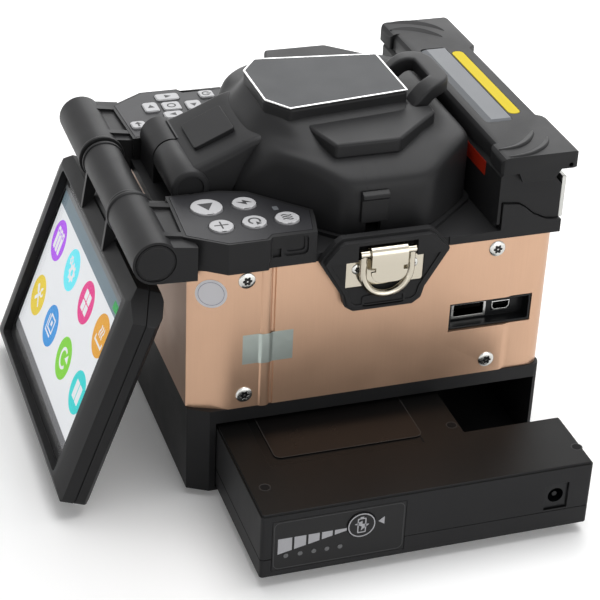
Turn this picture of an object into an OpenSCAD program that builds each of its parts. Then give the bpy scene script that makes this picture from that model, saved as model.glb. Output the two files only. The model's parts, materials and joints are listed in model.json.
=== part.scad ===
/* [Base] */
// Width of the case across its two flat sides
case_w = 130; // [129.6:0.1:130.6]
// Distance from the hood's centre plane to the front face of the case
case_front = 74; // [73.6:0.1:74.4]
// Distance from the centre plane to the back face of the case
case_back = 72; // [71.7:0.1:72.6]
// Height of the moulded base
base_h = 37.3; // [36.8:0.1:38.5]
// Thickness of the floor under the battery
floor_t = 1.2; // [1:0.1:1.4]
// Height of the battery bay
bay_h = 30.2; // [29.8:0.1:30.8]
// Thickness of the base wall at the back of the bay
bay_back_wall = 2.5; // [2.2:0.1:2.8]
// Thickness of the base wall at the front of the bay
bay_front_wall = 10.5; // [10.2:0.1:10.8]
// Thickness of the closed far wall of the bay
bay_end_wall = 3; // [2.5:0.1:4]
// Height of the rubber feet
foot_h = 3; // [2.9:0.1:4]
// Diameter of the rubber feet
foot_d = 12; // [8:0.5:14]

/* [Metal case] */
// Height of the metal case
case_h = 60.7; // [60.4:0.1:61.2]
// Sheet thickness of the case
case_t = 1.5; // [1:0.1:2]
// Length of the front corner bevel along the side
bevel_y = 15.3; // [14:0.1:16]
// Width of the front corner bevel along the front
bevel_x = 6.5; // [6:0.1:7.5]
// How far the pressed rib stands out of the side
rib_out = 0.8; // [0.5:0.1:1.2]
// Diameter of the case screw heads
screw_head_d = 6.3; // [5.5:0.1:7]
// Height of the case screw heads
screw_head_h = 1.1; // [0.8:0.1:1.6]
// Diameter of the case screw shanks
screw_d = 3; // [2.5:0.1:3.4]
// Length of the port recess
port_l = 35; // [34:0.5:37]
// Height of the port recess
port_h = 12.4; // [12:0.1:14]

/* [Top frame] */
// Height of the rim that caps the metal case
rim_h = 3.5; // [3.2:0.1:3.8]
// Height of the raised seat under the hood
seat_h = 1.5; // [1.3:0.1:1.8]
// Height of the keypad pods above the metal case
pod_h = 13; // [12.8:0.1:13.4]
// How far the pods overhang the sides of the case
pod_over = 2.5; // [2:0.1:3]
// Thickness of the keypad inlays
inlay_t = 1.2; // [1:0.1:1.6]
// Depth of the stage well below the rim
well_depth = 6; // [5:0.1:8]

/* [Hinges] */
// Diameter of every hinge pin
pin_d = 3.6; // [3:0.1:4]
// Radius of the fixed monitor hinge barrels
barrel_r = 8.7; // [8.4:0.1:8.9]
// Radius of the moving monitor barrel
mid_barrel_r = 7.9; // [7.4:0.1:8.2]
// Half length of the moving monitor barrel
mid_half = 22.7; // [21:0.1:23]
// Distance of the monitor hinge in front of the case
hinge_out = 12.9; // [12.6:0.1:13.4]
// Height of the monitor hinge above the metal case
hinge_up = 6.9; // [6.7:0.1:7.1]
// Radius of the hood barrel
hood_barrel_r = 7.5; // [7:0.1:7.8]
// Distance of the hood hinge behind the front of the case
hood_hinge_in = 10.5; // [10.3:0.1:10.8]
// Height of the hood hinge above the metal case
hood_hinge_up = 14.5; // [14.2:0.1:14.8]

/* [Monitor] */
// Width of the monitor
monitor_w = 131; // [129:0.5:132]
// Distance from the hinge axis to the top edge of the monitor
monitor_top = 14.7; // [14:0.1:15.5]
// Distance from the hinge axis to the bottom edge of the monitor
monitor_bottom = 106.8; // [104:0.1:107.2]
// Depth of the monitor behind its glass
monitor_t = 11.4; // [10.4:0.1:12]
// Height of the bevelled rim in front of the glass
monitor_rim = 2.8; // [2:0.1:3.4]
// Lean of the monitor from upright as it stands
monitor_lean = 20.7; // [18:0.1:24]

/* [Hood] */
// Half width of the hood
hood_half = 58; // [57:0.1:58.6]
// Height of the hood roof above the metal case
hood_roof = 32.5; // [32:0.1:33.5]
// Wall thickness of the hood
hood_t = 2.4; // [2:0.1:2.8]
// Distance from the centre plane to the back of the hood
hood_back = 45; // [44.4:0.1:45.1]
// Height of the raised plate on the hood
plate_h = 4.8; // [4:0.1:5.4]
// Height of the grip loop above the roof
loop_h = 12; // [11:0.1:13]
// Thickness of the small plate on top of the hood and of its bright rim
plaque_t = 0.6; // [0.4:0.1:1]

/* [Heater] */
// Half length of the heater lid
lid_half = 67; // [66.5:0.1:68]
// Height of the top of the heater lid above the metal case
lid_top = 35; // [34.8:0.1:35.6]
// Thickness of the heater lid
lid_t = 7; // [6.6:0.1:7.3]
// Distance from the centre plane to the front of the heater
heater_front = 46.3; // [46.2:0.1:46.8]
// Width of the heating trough
trough_w = 13; // [11:0.5:14]

/* [Battery] */
// Height of the battery
battery_h = 28.2; // [27.4:0.1:28.4]
// Length of the battery
battery_l = 124; // [122:0.5:125]
// Depth of the wide front bar of the battery
bar_d = 32; // [28:0.5:34]
// Width of the battery neck
neck_w = 92; // [88:0.5:94]
// Height of the lower battery shell
lower_h = 8; // [7:0.1:9]
// How far the battery stands pulled out
pulled = 58.5; // [50:0.5:60]
// Side clearance of the battery in its bay
bay_gap = 0.5; // [0.4:0.05:0.7]
// Diameter of the charge button
check_d = 11; // [10:0.1:12]
// Diameter of the bore of the power jack
jack_d = 6.4; // [6:0.1:6.6]
// Diameter of the centre pin of the power jack
jack_pin_d = 2; // [1.8:0.1:2.5]

/* [Keys] */
// Diameter of the large round key
key_big_d = 12.4; // [11.6:0.1:12.8]
// Diameter of the small round keys
key_d = 9.4; // [8.8:0.1:9.6]
// How far the keys stand out of the inlay
key_out = 0.9; // [0.9:0.1:1.4]
// Travel of the keys
key_travel = 0.8; // [0.6:0.05:0.85]

/* [Fibre stage] */
// Height of the fibre line above the metal case
fibre_up = 8; // [7.6:0.1:8.4]
// Distance of the fibre line in front of the centre plane
fibre_y = 1.5; // [1:0.1:2]
// Length of each sheath clamp
clamp_l = 20; // [18:0.5:21]
// Diameter of the electrodes
electrode_d = 1; // [0.8:0.1:1.2]

/* [Hidden] */
$fn = 48;
hw = case_w / 2;
z_case = base_h;
z_rim = z_case + case_h;
z_deck = z_rim + rim_h;
z_seat = z_deck + seat_h;
z_pod = z_rim + pod_h;
z_roof = z_rim + hood_roof;
z_plate = z_roof + plate_h;
z_plaque = z_plate + 5.8;
z_lid = z_rim + lid_top;
z_heater = z_lid - lid_t - 0.3;
fit = 0.3;
run = 0.05;
// monitor hinge and hood hinge
hinge_y = -case_front - hinge_out;
hinge_z = z_rim + hinge_up;
hood_y = -case_front + hood_hinge_in;
hood_z = z_rim + hood_hinge_up;
lid_axis_y = case_back + 0.8;
lid_axis_z = z_lid - 4.4;
// battery in its bay
bat_y0 = -case_front + bay_front_wall + bay_gap;
bat_y1 = case_back - bay_back_wall - bay_gap;
bat_z0 = floor_t + fit;
bat_x1 = hw + pulled;
bat_x0 = bat_x1 - battery_l;
bat_z1 = bat_z0 + battery_h;
seam_z = bat_z0 + lower_h;
jack_y = bat_y1 - 14.3;
jack_z = bat_z0 + 14.8;
check_y = bat_y0 + 38.7;
check_z = bat_z0 + 17.3;
panel_y0 = bat_y0 + 4.3;
panel_l = 52;
panel_z0 = bat_z0 + 2.4;
panel_h = 22.5;
// strap ring
strap_y = 0.5;
plate_x = hw + 2.6;
ring_x = hw + 4.9;
ring_z = z_rim + 3.4;
wire_r = 1.45;
ring_half = 9.5;
ring_drop = 17.9;
// sides of the ports
port_y0 = case_back - port_l - 7;
port_z0 = z_case + 21.2;
// fibre line
fy = -fibre_y;
fz = z_rim + fibre_up;
z_well = z_rim - well_depth;
stage_top = fz - 8;
clamp_x0 = 16;
clamp_hy = fy + 8.6;
clamp_hz = fz + 2.2;
// the hood's front facet, the tips of the pods behind the keys, and the room
// for the keys against that of their plain layout
facet = hood_half + 13.2;
pod_y = -case_front - 1.2;
pod_tip = hw - 16.4 - facet;
key_fx = (hw - facet + 38.2) / 32;
key_fy = (pod_tip - 1.6 - pod_y) / 51;
// lid hinges, window and strip of the heater
knuckle_x = lid_half - 15;
lid_window_l = lid_half + 5;
lid_strip_l = lid_half - 5;
key_pocket = 1.1;
key_flange = 0.7;
pad_pocket = 0.6;
pad_flange = 0.4;
pad_gap = 0.2;

function mir(p) = concat(p, [for (i = [len(p) - 1:-1:0]) [-p[i][0], p[i][1]]]);

module both() { children(); mirror([1, 0, 0]) children(); }
// a cylinder along X from x0 to x1
module bar_x(r, x0, x1, y, z) {
  translate([x0, y, z]) rotate([0, 90, 0]) cylinder(r = r, h = x1 - x0);
}
// a cylinder along Y from y0 to y1
module bar_y(r, y0, y1, x, z) {
  translate([x, y0, z]) rotate([-90, 0, 0]) cylinder(r = r, h = y1 - y0);
}
// a flat outline in Y and Z, drawn out along X from x0 to x1
module side_cut(x0, x1) {
  translate([x0, 0, 0]) rotate([90, 0, 90]) linear_extrude(x1 - x0) children();
}
// a flat outline in X and Z, drawn out along Y from y0 to y1
module front_cut(y0, y1) {
  translate([0, y1, 0]) rotate([90, 0, 0]) linear_extrude(y1 - y0) children();
}
module slab(z0, z1) { translate([0, 0, z0]) linear_extrude(z1 - z0) children(); }
module round_rect(w, h, r) {
  offset(r = r, $fn = 12) square([w - 2 * r, h - 2 * r], center = true);
}

// ---- outlines seen from above ----
module base_outline() {
  polygon(mir([[hw - 4.5, -case_front], [hw, -case_front + 8],
    [hw, case_back - 3], [hw - 0.9, case_back - 0.9], [hw - 3, case_back]]));
}
function case_tail() = [[hw, case_back - 18.6], [hw - 0.12, case_back - 17.8],
  [hw - 0.42, case_back - 16.8], [hw - 0.64, case_back - 16], [hw - 0.7, case_back - 15],
  [hw - 0.7, case_back - 6.4], [hw - 0.95, case_back - 4.6], [hw - 1.6, case_back - 3],
  [hw - 2.7, case_back - 1.6], [hw - 4.4, case_back - 0.5], [hw - 6.6, case_back]];
module case_core() {
  polygon(mir(concat([[hw - bevel_x, -case_front], [hw - bevel_x + 1.6, -case_front + 2.6],
    [hw, -case_front + bevel_y]], case_tail())));
}
// pressed rib and groove on each side
rib_y = -case_front + 29.3;
module case_outline() {
  polygon(mir(concat([[hw - bevel_x, -case_front], [hw - bevel_x + 1.6, -case_front + 2.6],
    [hw, -case_front + bevel_y], [hw, rib_y - 2.3], [hw + rib_out * 0.7, rib_y - 1.7],
    [hw + rib_out, rib_y - 0.7], [hw + rib_out, rib_y + 0.5],
    [hw + rib_out * 0.6, rib_y + 1.4], [hw, rib_y + 1.9], [hw - 0.5, rib_y + 2.3],
    [hw - 0.5, rib_y + 3.1], [hw, rib_y + 3.5]], case_tail())));
}
// keypad pod on the right: its inner edge runs along the hood's front facet
module pod_outline() {
  polygon([[25.5, pod_y + 1.6], [hw - 7.5, pod_y], [hw + pod_over, pod_y + 14.6],
    [hw + pod_over, pod_y + 30.4], [hw + 0.6, pod_y + 31.6],
    [hw + 0.6, pod_tip - 3.6], [hw - 11, pod_tip - 0.8], [facet + pod_tip, pod_tip],
    [facet - 38.2, -38.2], [facet - 42.4, -42.4], [25.5, -53]]);
}
module inlay_outline(inset) {
  offset(delta = -inset) polygon([[25.5 + 1.2, pod_y + 2.8], [hw - 8, pod_y + 1.4],
    [hw + 1.4, pod_y + 15], [hw + 1.4, pod_y + 29.4], [hw - 1.6, pod_y + 32],
    [hw - 1.6, pod_tip - 4.8], [hw - 12, pod_tip - 2.4],
    [facet + 0.6 + pod_tip, pod_tip - 1.6],
    [facet + 2.2 - 38.9, -38.9], [facet + 2 - 42.6, -42.6], [27.2, -53.4]]);
}
module hood_outline(inset) {
  offset(delta = -inset) polygon(mir([[22.4, 22.4 - facet + 1.2],
    [hood_half, hood_half - facet + 1.2], [hood_half, 22],
    [39, hood_back - 1.5], [36, hood_back]]));
}

// ---- base ----
module base_tray() color([0.16, 0.16, 0.16]) {
  difference() {
    union() {
      slab(0, base_h) base_outline();
      slab(base_h - 1, base_h + 9)
        difference() {
          offset(delta = -case_t - 0.2) case_core();
          offset(delta = -case_t - 3) case_core();
        }
    }
    translate([-hw + bay_end_wall, bat_y0 - bay_gap, floor_t])
      cube([case_w, bat_y1 - bat_y0 + 2 * bay_gap, bay_h]);
    // curved finger scoop in the lip under the front of the battery
    slab(-1, floor_t + 1) translate([hw + 3, bat_y0 + 7]) circle(r = 7);
    screw_rows(z_case + 6) bar_x(screw_d / 2 + 0.1, hw - 8, hw, 0, 0);
  }
}
module rubber_feet() color([0.1, 0.1, 0.1])
  for (x = [-1, 1], y = [-case_front + 13, case_back - 13])
    translate([x * (hw - 12), y, -foot_h]) {
      cylinder(d1 = foot_d - 1.4, d2 = foot_d, h = 0.8);
      translate([0, 0, 0.8]) cylinder(d = foot_d, h = foot_h - 0.8);
    }

// ---- metal case ----
module screw_rows(z) {
  for (y = [-case_front + 21.3, case_back - 24.5])
    both() translate([0, y, z]) children();
}
module metal_case() color([0.72, 0.56, 0.45]) difference() {
  slab(z_case, z_rim) case_outline();
  slab(z_case - 1, z_rim + 1) offset(delta = -case_t) case_core();
  translate([hw - 5, port_y0, port_z0]) cube([10, port_l, port_h]);
  for (z = [z_case + 6, z_rim - 4.4])
    screw_rows(z) bar_x(screw_d / 2 + 0.2, hw - 6, hw + 2, 0, 0);
}
module button_screw(r, h, shank_r, l) {
  rotate([0, 90, 0]) rotate_extrude($fn = 32)
    polygon([[0, -l], [shank_r, -l], [shank_r, 0], [r, 0], [r, h * 0.35],
      [r * 0.82, h * 0.75], [r * 0.5, h], [0, h]]);
}
module case_screws() color([0.8, 0.8, 0.78]) {
  for (z = [z_case + 6, z_rim - 4.4])
    screw_rows(z) translate([hw, 0, 0])
      button_screw(screw_head_d / 2, screw_head_h, screw_d / 2, case_t + 2.6);
  both() for (y = [-11, 11]) translate([plate_x, strap_y + y, z_rim - 4])
    button_screw(2.2, 0.6, 1.2, 2.2);
}

// ---- top frame ----
module top_frame() color([0.22, 0.22, 0.22]) difference() {
  union() {
    slab(z_rim, z_deck) offset(delta = 0.5) case_core();
    // locating flange inside the case
    slab(z_rim - 9, z_rim + 1) difference() {
      offset(delta = -case_t - 0.2) case_core();
      offset(delta = -case_t - 3) case_core();
    }
    slab(z_rim, z_seat) intersection() {
      hood_outline(-1.6);
      offset(delta = 0.5) case_core();
      translate([-hw, heater_front - 0.2 - case_w]) square([case_w, case_w]);
    }
    // the foot of each pod stands in a little
    both() slab(z_rim + 3, z_pod) pod_outline();
    both() slab(z_rim, z_rim + 3.2) offset(delta = -0.5) pod_outline();
    both() monitor_lugs();
    // pedestal and fixed knuckle of the hood hinge
    bar_x(hood_barrel_r, -25, -4.2, hood_y, hood_z);
    side_cut(-25, -4.2) polygon([[hood_y - hood_barrel_r, z_rim],
      [hood_y + hood_barrel_r, z_rim], [hood_y + hood_barrel_r - 0.4, hood_z - 2],
      [hood_y - hood_barrel_r + 0.4, hood_z - 2]]);
    // cheeks beside the heater with their swept top edge
    both() side_cut(hw - 2.9, hw + 0.5) cheek();
  }
  slab(z_rim - 1, z_seat + 1) hood_outline(7);
  both() inlay_cuts();
  right_pockets();
  left_pockets();
  // hinge bores
  both() bar_x(pin_d / 2 + run, mid_half, 40, hinge_y, hinge_z);
  bar_x(pin_d / 2 + run, -26, 26, hood_y, hood_z);
  both() bar_x(7.7, hw - 3, hw + 1, hinge_y, hinge_z);
  for (z = [z_rim - 4.4])
    screw_rows(z) bar_x(screw_d / 2 + 0.1, hw - 8, hw, 0, 0);
  both() slab(z_rim - 1, z_seat + 1) bracket_notch();
}
module cheek() {
  polygon([[heater_front + 1.7, z_rim], [heater_front + 1.7, z_rim + 14.8],
    [heater_front + 8.3, z_rim + 14], [heater_front + 11.4, z_rim + 12],
    [heater_front + 14.7, z_rim + 9], [heater_front + 20.2, z_rim + 6.2],
    [case_back + 1, z_rim + 5.4], [case_back + 1, z_rim]]);
}
// fixed barrel, its block and the sloping gusset up to the pod
module monitor_lugs() {
  difference() {
    union() {
      bar_x(barrel_r, mid_half + 0.5, hw - 1, hinge_y, hinge_z);
      side_cut(mid_half + 4, hw - 1) polygon([[hinge_y, hinge_z - barrel_r],
        [hinge_y + 10, hinge_z - barrel_r - 0.4], [pod_y + 4, z_rim - 2.5],
        [pod_y + 4, z_pod - 1.6], [hinge_y + 6.4, hinge_z + 5.8],
        [hinge_y, hinge_z + barrel_r - 0.6]]);
      for (x = [mid_half + 8, hw - 11]) side_cut(x, x + 3.2)
        polygon([[hinge_y + 3, hinge_z + 7.6], [pod_y + 3, z_pod - 0.4],
          [pod_y + 3, z_rim + 2]]);
    }
    // the case runs up behind the block
    slab(z_rim - 20, z_rim) offset(delta = 0.2) case_outline();
  }
}
module inlay_cuts() {
  slab(z_pod - inlay_t - 0.1, z_pod + 1) inlay_outline(-0.15);
  // small window and stepped recess in the outer pod wall
  translate([hw - 0.6, pod_y + 32, z_rim + 4.2]) cube([4, 3.2, 3.6]);
  side_cut(hw - 0.3, hw + 2) translate([pod_y + 41, z_rim + 8.2]) round_rect(9.6, 8, 1.8);
  side_cut(hw - 0.9, hw + 2) translate([pod_y + 41, z_rim + 8.6]) round_rect(7.2, 6.2, 1.4);
}
module bracket_notch() {
  translate([hw, strap_y - 26.6]) square([4, 53.2]);
}

// ---- keys on the right: position, radius ----
function key_x(x) = hw - (65 - x) * key_fx;
function key_y(y) = pod_y + (y + 75.2) * key_fy;
big_r = key_big_d / 2 * key_fx;
small_r = key_d / 2 * key_fx;
right_list = [[key_x(38.4), key_y(-61.1), big_r], [key_x(53.9), key_y(-59.7), small_r],
  [key_x(38.6), key_y(-46.5), small_r], [key_x(53.6), key_y(-46.9), small_r],
  [key_x(53.6), key_y(-34.2), small_r]];
module right_pockets() {
  for (k = right_list) translate([k[0], k[1], z_pod - inlay_t - 2.6])
    cylinder(r = k[2] + key_pocket, h = 4);
}
module round_key(i) {
  k = right_list[i];
  translate([k[0], k[1], z_pod]) rotate_extrude($fn = 40)
    polygon([[0, -inlay_t - 1.6], [k[2] + key_flange, -inlay_t - 1.6],
      [k[2] + key_flange, -inlay_t - 0.3], [k[2], -inlay_t - 0.3],
      [k[2], key_out - 0.4], [k[2] - 0.4, key_out], [0, key_out]]);
}
// ---- keys on the left: centre, size ----
left_list = [for (k = [[59.7, -50.9, 6, 10], [42.4, -52.4, 6.2, 8],
  [51.2, -59.9, 8.6, 6.2], [49.6, -42, 8.4, 6.4], [50.6, -51.3, 7.6, 7.6],
  [37.4, -61, 6.2, 5.8], [36.2, -68.8, 6.2, 6], [58.8, -34.2, 6.6, 6.2]])
  [-key_x(k[0]), key_y(k[1]), k[2] * key_fx, k[3] * key_fy]];
module left_pockets() {
  for (k = left_list) translate([k[0], k[1], z_pod - inlay_t - 2.6])
    linear_extrude(4) square([k[2] + 2 * pad_pocket, k[3] + 2 * pad_pocket],
      center = true);
}
module pad_key(i) {
  k = left_list[i];
  translate([k[0], k[1], z_pod]) {
    translate([0, 0, -inlay_t - 1.6]) linear_extrude(1.3)
      square([k[2] + 2 * pad_flange, k[3] + 2 * pad_flange], center = true);
    translate([0, 0, -inlay_t - 0.4]) linear_extrude(inlay_t + 0.4 + key_out - 0.3)
      round_rect(k[2], k[3], 1.4);
    translate([0, 0, key_out - 0.35]) linear_extrude(0.35)
      round_rect(k[2] - 0.6, k[3] - 0.6, 1.2);
  }
}

// ---- pieces on the top frame ----
module right_inlay() color([0.3, 0.3, 0.31]) difference() {
  slab(z_pod - inlay_t, z_pod) inlay_outline(0);
  for (k = right_list) translate([k[0], k[1], z_pod - inlay_t - 1])
    cylinder(r = k[2] + fit, h = inlay_t + 2);
}
module left_inlay() color([0.3, 0.3, 0.31]) difference() {
  mirror([1, 0, 0]) slab(z_pod - inlay_t, z_pod) inlay_outline(0);
  for (k = left_list) translate([k[0], k[1], z_pod - inlay_t - 1])
    linear_extrude(inlay_t + 2) round_rect(k[2] + 2 * pad_gap, k[3] + 2 * pad_gap, 1.5);
}
module hinge_caps() color([0.2, 0.2, 0.2]) both()
  translate([hw - 2.8, hinge_y, hinge_z]) rotate([0, 90, 0])
    rotate_extrude($fn = 40) polygon([[0, 0], [7.5, 0], [7.5, 1.6],
      [7.2, 1.9], [6.9, 1.6], [6.7, 2], [0, 2]]);
module hinge_pins() color([0.75, 0.75, 0.76]) {
  both() bar_x(pin_d / 2, mid_half - 10.9, mid_half + 17.1, hinge_y, hinge_z);
  bar_x(pin_d / 2, -25.6, 23.8, hood_y, hood_z);
  both() bar_x(pin_d / 2, knuckle_x - 5, knuckle_x + 5, lid_axis_y, lid_axis_z);
}

// ---- strap fittings, drawn on the right and mirrored to the left ----
module bracket_profile() {
  offset(r = 1.5, $fn = 24) offset(delta = -1.5) translate([strap_y, z_rim])
    polygon([[-26, 0.4], [-24.6, 3], [-20, 8.4], [-17.6, 10], [17.6, 10],
      [20, 8.4], [24.6, 3], [26, 0.4], [16.6, -15], [15.4, -19.6], [12, -22],
      [-12, -22], [-15.4, -19.6], [-16.6, -15]]);
}
module strap_bracket() difference() {
  union() {
    side_cut(hw + 0.1, hw + 3) bracket_profile();
    // fuller upper edge that guards the ring
    side_cut(hw + 2.9, hw + 5.4) intersection() {
      offset(delta = -1.2) bracket_profile();
      translate([strap_y - 30, z_rim + 0.6]) square([60, 12]);
    }
  }
  side_cut(hw + 1.3, hw + 6) translate([strap_y - 15.6, z_rim - 11.8])
    square([31.2, 11.6]);
  // room for the ring's bar and fold
  side_cut(hw + 1.3, hw + 7) translate([strap_y - 11.8, z_rim - 2])
    square([23.6, 9.2]);
  for (y = [-11, 11]) bar_x(1.4, hw - 1, hw + 3, strap_y + y, z_rim - 4);
}
module strap_bracket_right() color([0.15, 0.15, 0.15]) strap_bracket();
module strap_bracket_left() color([0.15, 0.15, 0.15]) mirror([1, 0, 0]) strap_bracket();
// sprung plate whose tongue is folded round the ring's bar
module strap_plate() difference() {
  union() {
    side_cut(plate_x - 1.2, plate_x) translate([strap_y - 15.4, z_rim - 11.6])
      square([30.8, 11.2]);
    front_cut(strap_y - 7.2, strap_y + 7.2) difference() {
      union() {
        translate([ring_x, ring_z]) circle(r = 3);
        translate([plate_x - 1.2, z_rim - 1]) square([1.2, 4.6]);
        translate([plate_x - 1.2, ring_z - 0.6]) square([1.6, 1.2]);
        translate([ring_x + 2, ring_z - 10.4]) square([1, 10.4]);
      }
      translate([ring_x, ring_z]) circle(r = 1.9);
      translate([ring_x - 1.9, ring_z - 12]) square([3.8, 12]);
    }
  }
  for (y = [-11, 11]) bar_x(1.35, plate_x - 2, plate_x + 1, strap_y + y, z_rim - 4);
  for (y = [-4.6, 3]) translate([ring_x + 1, strap_y + y, ring_z - 8.6])
    cube([3, 1.6, 1.6]);
}
module strap_plates() color([0.8, 0.79, 0.75]) both() strap_plate();
// straight bar on top, two legs, and a half round whose ends stand in the legs
module ring() {
  bar_y(wire_r + 0.15, strap_y - ring_half - wire_r, strap_y + ring_half + wire_r,
    ring_x, ring_z);
  for (s = [-1, 1]) translate([ring_x, strap_y + s * ring_half,
    ring_z - ring_drop + ring_half - 0.4])
    cylinder(r = wire_r + 0.05, h = ring_drop - ring_half + 0.4);
  translate([ring_x, strap_y, ring_z - ring_drop + ring_half]) rotate([90, 0, 90])
    difference() {
      rotate_extrude() translate([ring_half, 0]) circle(r = wire_r);
      translate([-15, 0, -5]) cube([30, 15, 10]);
    }
}
module d_ring_right() color([0.85, 0.84, 0.8]) ring();
module d_ring_left() color([0.85, 0.84, 0.8]) mirror([1, 0, 0]) ring();

// ---- ports ----
usb_y = port_y0 + 10.6;
mini_y = port_y0 + 24.4;
port_z = port_z0 + 5.4;
module port_bezel() color([0.1, 0.1, 0.1]) difference() {
  side_cut(hw - 9, hw - 0.9) translate([port_y0 + fit, port_z0 + fit])
    square([port_l - 2 * fit, port_h - 2 * fit]);
  side_cut(hw - 6.2, hw + 1) translate([port_y0 + 1.2, port_z0 + 1.2])
    square([port_l - 2.4, port_h - 2.4]);
  side_cut(hw - 10, hw) translate([usb_y, port_z]) square([13.4, 6], center = true);
  side_cut(hw - 10, hw) translate([mini_y, port_z]) square([7.9, 4.2], center = true);
}
module usb_port() color([0.8, 0.8, 0.8]) translate([hw - 6.2, usb_y, port_z]) {
  difference() {
    union() {
      side_cut(-9, 0.1) square([13.2, 5.8], center = true);
      side_cut(0, 0.4) square([14.6, 7.2], center = true);
    }
    side_cut(-8.2, 1) square([12.5, 5.1], center = true);
  }
  side_cut(-8.6, -0.8) translate([0, 0.9]) square([11.2, 1.8], center = true);
}
module mini_port() color([0.8, 0.8, 0.8]) translate([hw - 6.2, mini_y, port_z]) {
  difference() {
    side_cut(-7, 0.1) polygon([[-3.85, 2], [3.85, 2], [3.85, -0.6], [2.9, -2],
      [-2.9, -2], [-3.85, -0.6]]);
    side_cut(-6.3, 1) polygon([[-3.4, 1.55], [3.4, 1.55], [3.4, -0.5],
      [2.6, -1.55], [-2.6, -1.55], [-3.4, -0.5]]);
  }
  side_cut(-6.6, -0.8) square([4.8, 0.8], center = true);
}

// ---- fibre stage ----
module stage_tub() color([0.2, 0.2, 0.2]) difference() {
  slab(z_well - 2, z_rim) hood_outline(5);
  slab(z_well, z_rim + 1) hood_outline(7);
}
module lens_place(s) {
  translate([0, fy, fz]) rotate([s * 45, 0, 0]) translate([0, 0, -16.6]) children();
}
module stage_plate() color([0.62, 0.63, 0.65]) difference() {
  slab(z_well, stage_top) translate([0, fy]) round_rect(28, 31, 2);
  for (s = [-1, 1]) lens_place(s) translate([0, 0, -4]) cylinder(r = 2.65, h = 14);
  for (x = [-11, 11], y = [-12, 12]) translate([x, fy + y, stage_top - 2])
    cylinder(r = 1.6, h = 3);
}
module objective_lenses() color([0.2, 0.2, 0.22])
  for (s = [-1, 1]) lens_place(s) difference() {
    cylinder(r = 2.6, h = 9.2);
    translate([0, 0, 8.4]) cylinder(r1 = 1.4, r2 = 2, h = 1);
  }
module v_groove_blocks() color([0.92, 0.9, 0.84]) both() difference() {
  side_cut(3.3, 8.6) polygon([[fy - 4.6, stage_top], [fy + 4.6, stage_top],
    [fy + 4.6, fz - 3], [fy + 2.6, fz - 0.2], [fy - 2.6, fz - 0.2],
    [fy - 4.6, fz - 3]]);
  side_cut(3, 9) polygon([[fy - 0.5, fz], [fy + 0.5, fz], [fy, fz - 0.9]]);
}
module electrodes() color([0.7, 0.7, 0.72])
  for (s = [0, 180]) translate([0, fy, fz]) rotate([0, 0, s]) rotate([-90, 0, 0])
    rotate_extrude($fn = 24) polygon([[0, 1], [0.1, 1], [electrode_d / 2, 3],
      [electrode_d / 2, 14.6], [0, 14.6]]);
module electrode_holders() color([0.12, 0.12, 0.13])
  for (s = [0, 180]) translate([0, fy, 0]) rotate([0, 0, s]) difference() {
    side_cut(-6.6, 6.6) polygon([[7, stage_top], [14, stage_top], [14, fz + 1.6],
      [12.4, fz + 2.8], [8.6, fz + 2.8], [7, fz + 1.4]]);
    translate([-3, 6, stage_top - 1]) cube([6, 9, fz - 2.4 - stage_top + 1]);
    bar_y(electrode_d / 2 + run, 6, 15, 0, fz);
  }
module clamp_bases() color([0.25, 0.25, 0.26]) both() {
  difference() {
    side_cut(clamp_x0, clamp_x0 + clamp_l) polygon([[fy - 9, z_well],
      [fy + 10.6, z_well], [fy + 10.6, fz - 1.6], [fy + 6.4, fz - 1.2],
      [fy + 5.8, fz - 0.4], [fy - 9, fz - 0.4]]);
    side_cut(clamp_x0 - 1, clamp_x0 + clamp_l + 1) polygon([[fy - 0.9, fz],
      [fy + 0.9, fz], [fy, fz - 1.6]]);
  }
  for (x = [clamp_x0, clamp_x0 + clamp_l - 2.4]) {
    bar_x(2.3, x, x + 2.4, clamp_hy, clamp_hz);
    side_cut(x, x + 2.4) polygon([[clamp_hy - 1.9, fz - 2], [clamp_hy + 2, fz - 2],
      [clamp_hy + 2, clamp_hz], [clamp_hy - 1.9, clamp_hz]]);
  }
  bar_x(1.2, clamp_x0 + 1, clamp_x0 + clamp_l - 1, clamp_hy, clamp_hz);
}
module clamp_lid() difference() {
  union() {
    side_cut(clamp_x0, clamp_x0 + clamp_l) polygon([[fy - 9, fz + 0.1],
      [fy + 5.4, fz + 0.1], [fy + 5.4, fz + 4.6], [fy - 6.4, fz + 4.6],
      [fy - 9, fz + 2]]);
    side_cut(clamp_x0 + 2.8, clamp_x0 + clamp_l - 2.8) polygon([[fy + 5, fz + 0.1],
      [clamp_hy, clamp_hz - 2.3], [clamp_hy, clamp_hz + 2.3], [fy + 5, fz + 4.6]]);
    bar_x(2.3, clamp_x0 + 2.8, clamp_x0 + clamp_l - 2.8, clamp_hy, clamp_hz);
  }
  bar_x(1.2 + run, clamp_x0, clamp_x0 + clamp_l, clamp_hy, clamp_hz);
  // finger lip
  side_cut(clamp_x0 + 5, clamp_x0 + clamp_l - 5) polygon([[fy - 9.5, fz + 3],
    [fy - 9.5, fz + 1], [fy - 7.6, fz + 1.6], [fy - 7.6, fz + 5], [fy - 9.5, fz + 5]]);
}
module clamp_lid_right() color([0.3, 0.3, 0.32]) clamp_lid();
module clamp_lid_left() color([0.3, 0.3, 0.32]) mirror([1, 0, 0]) clamp_lid();

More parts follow.
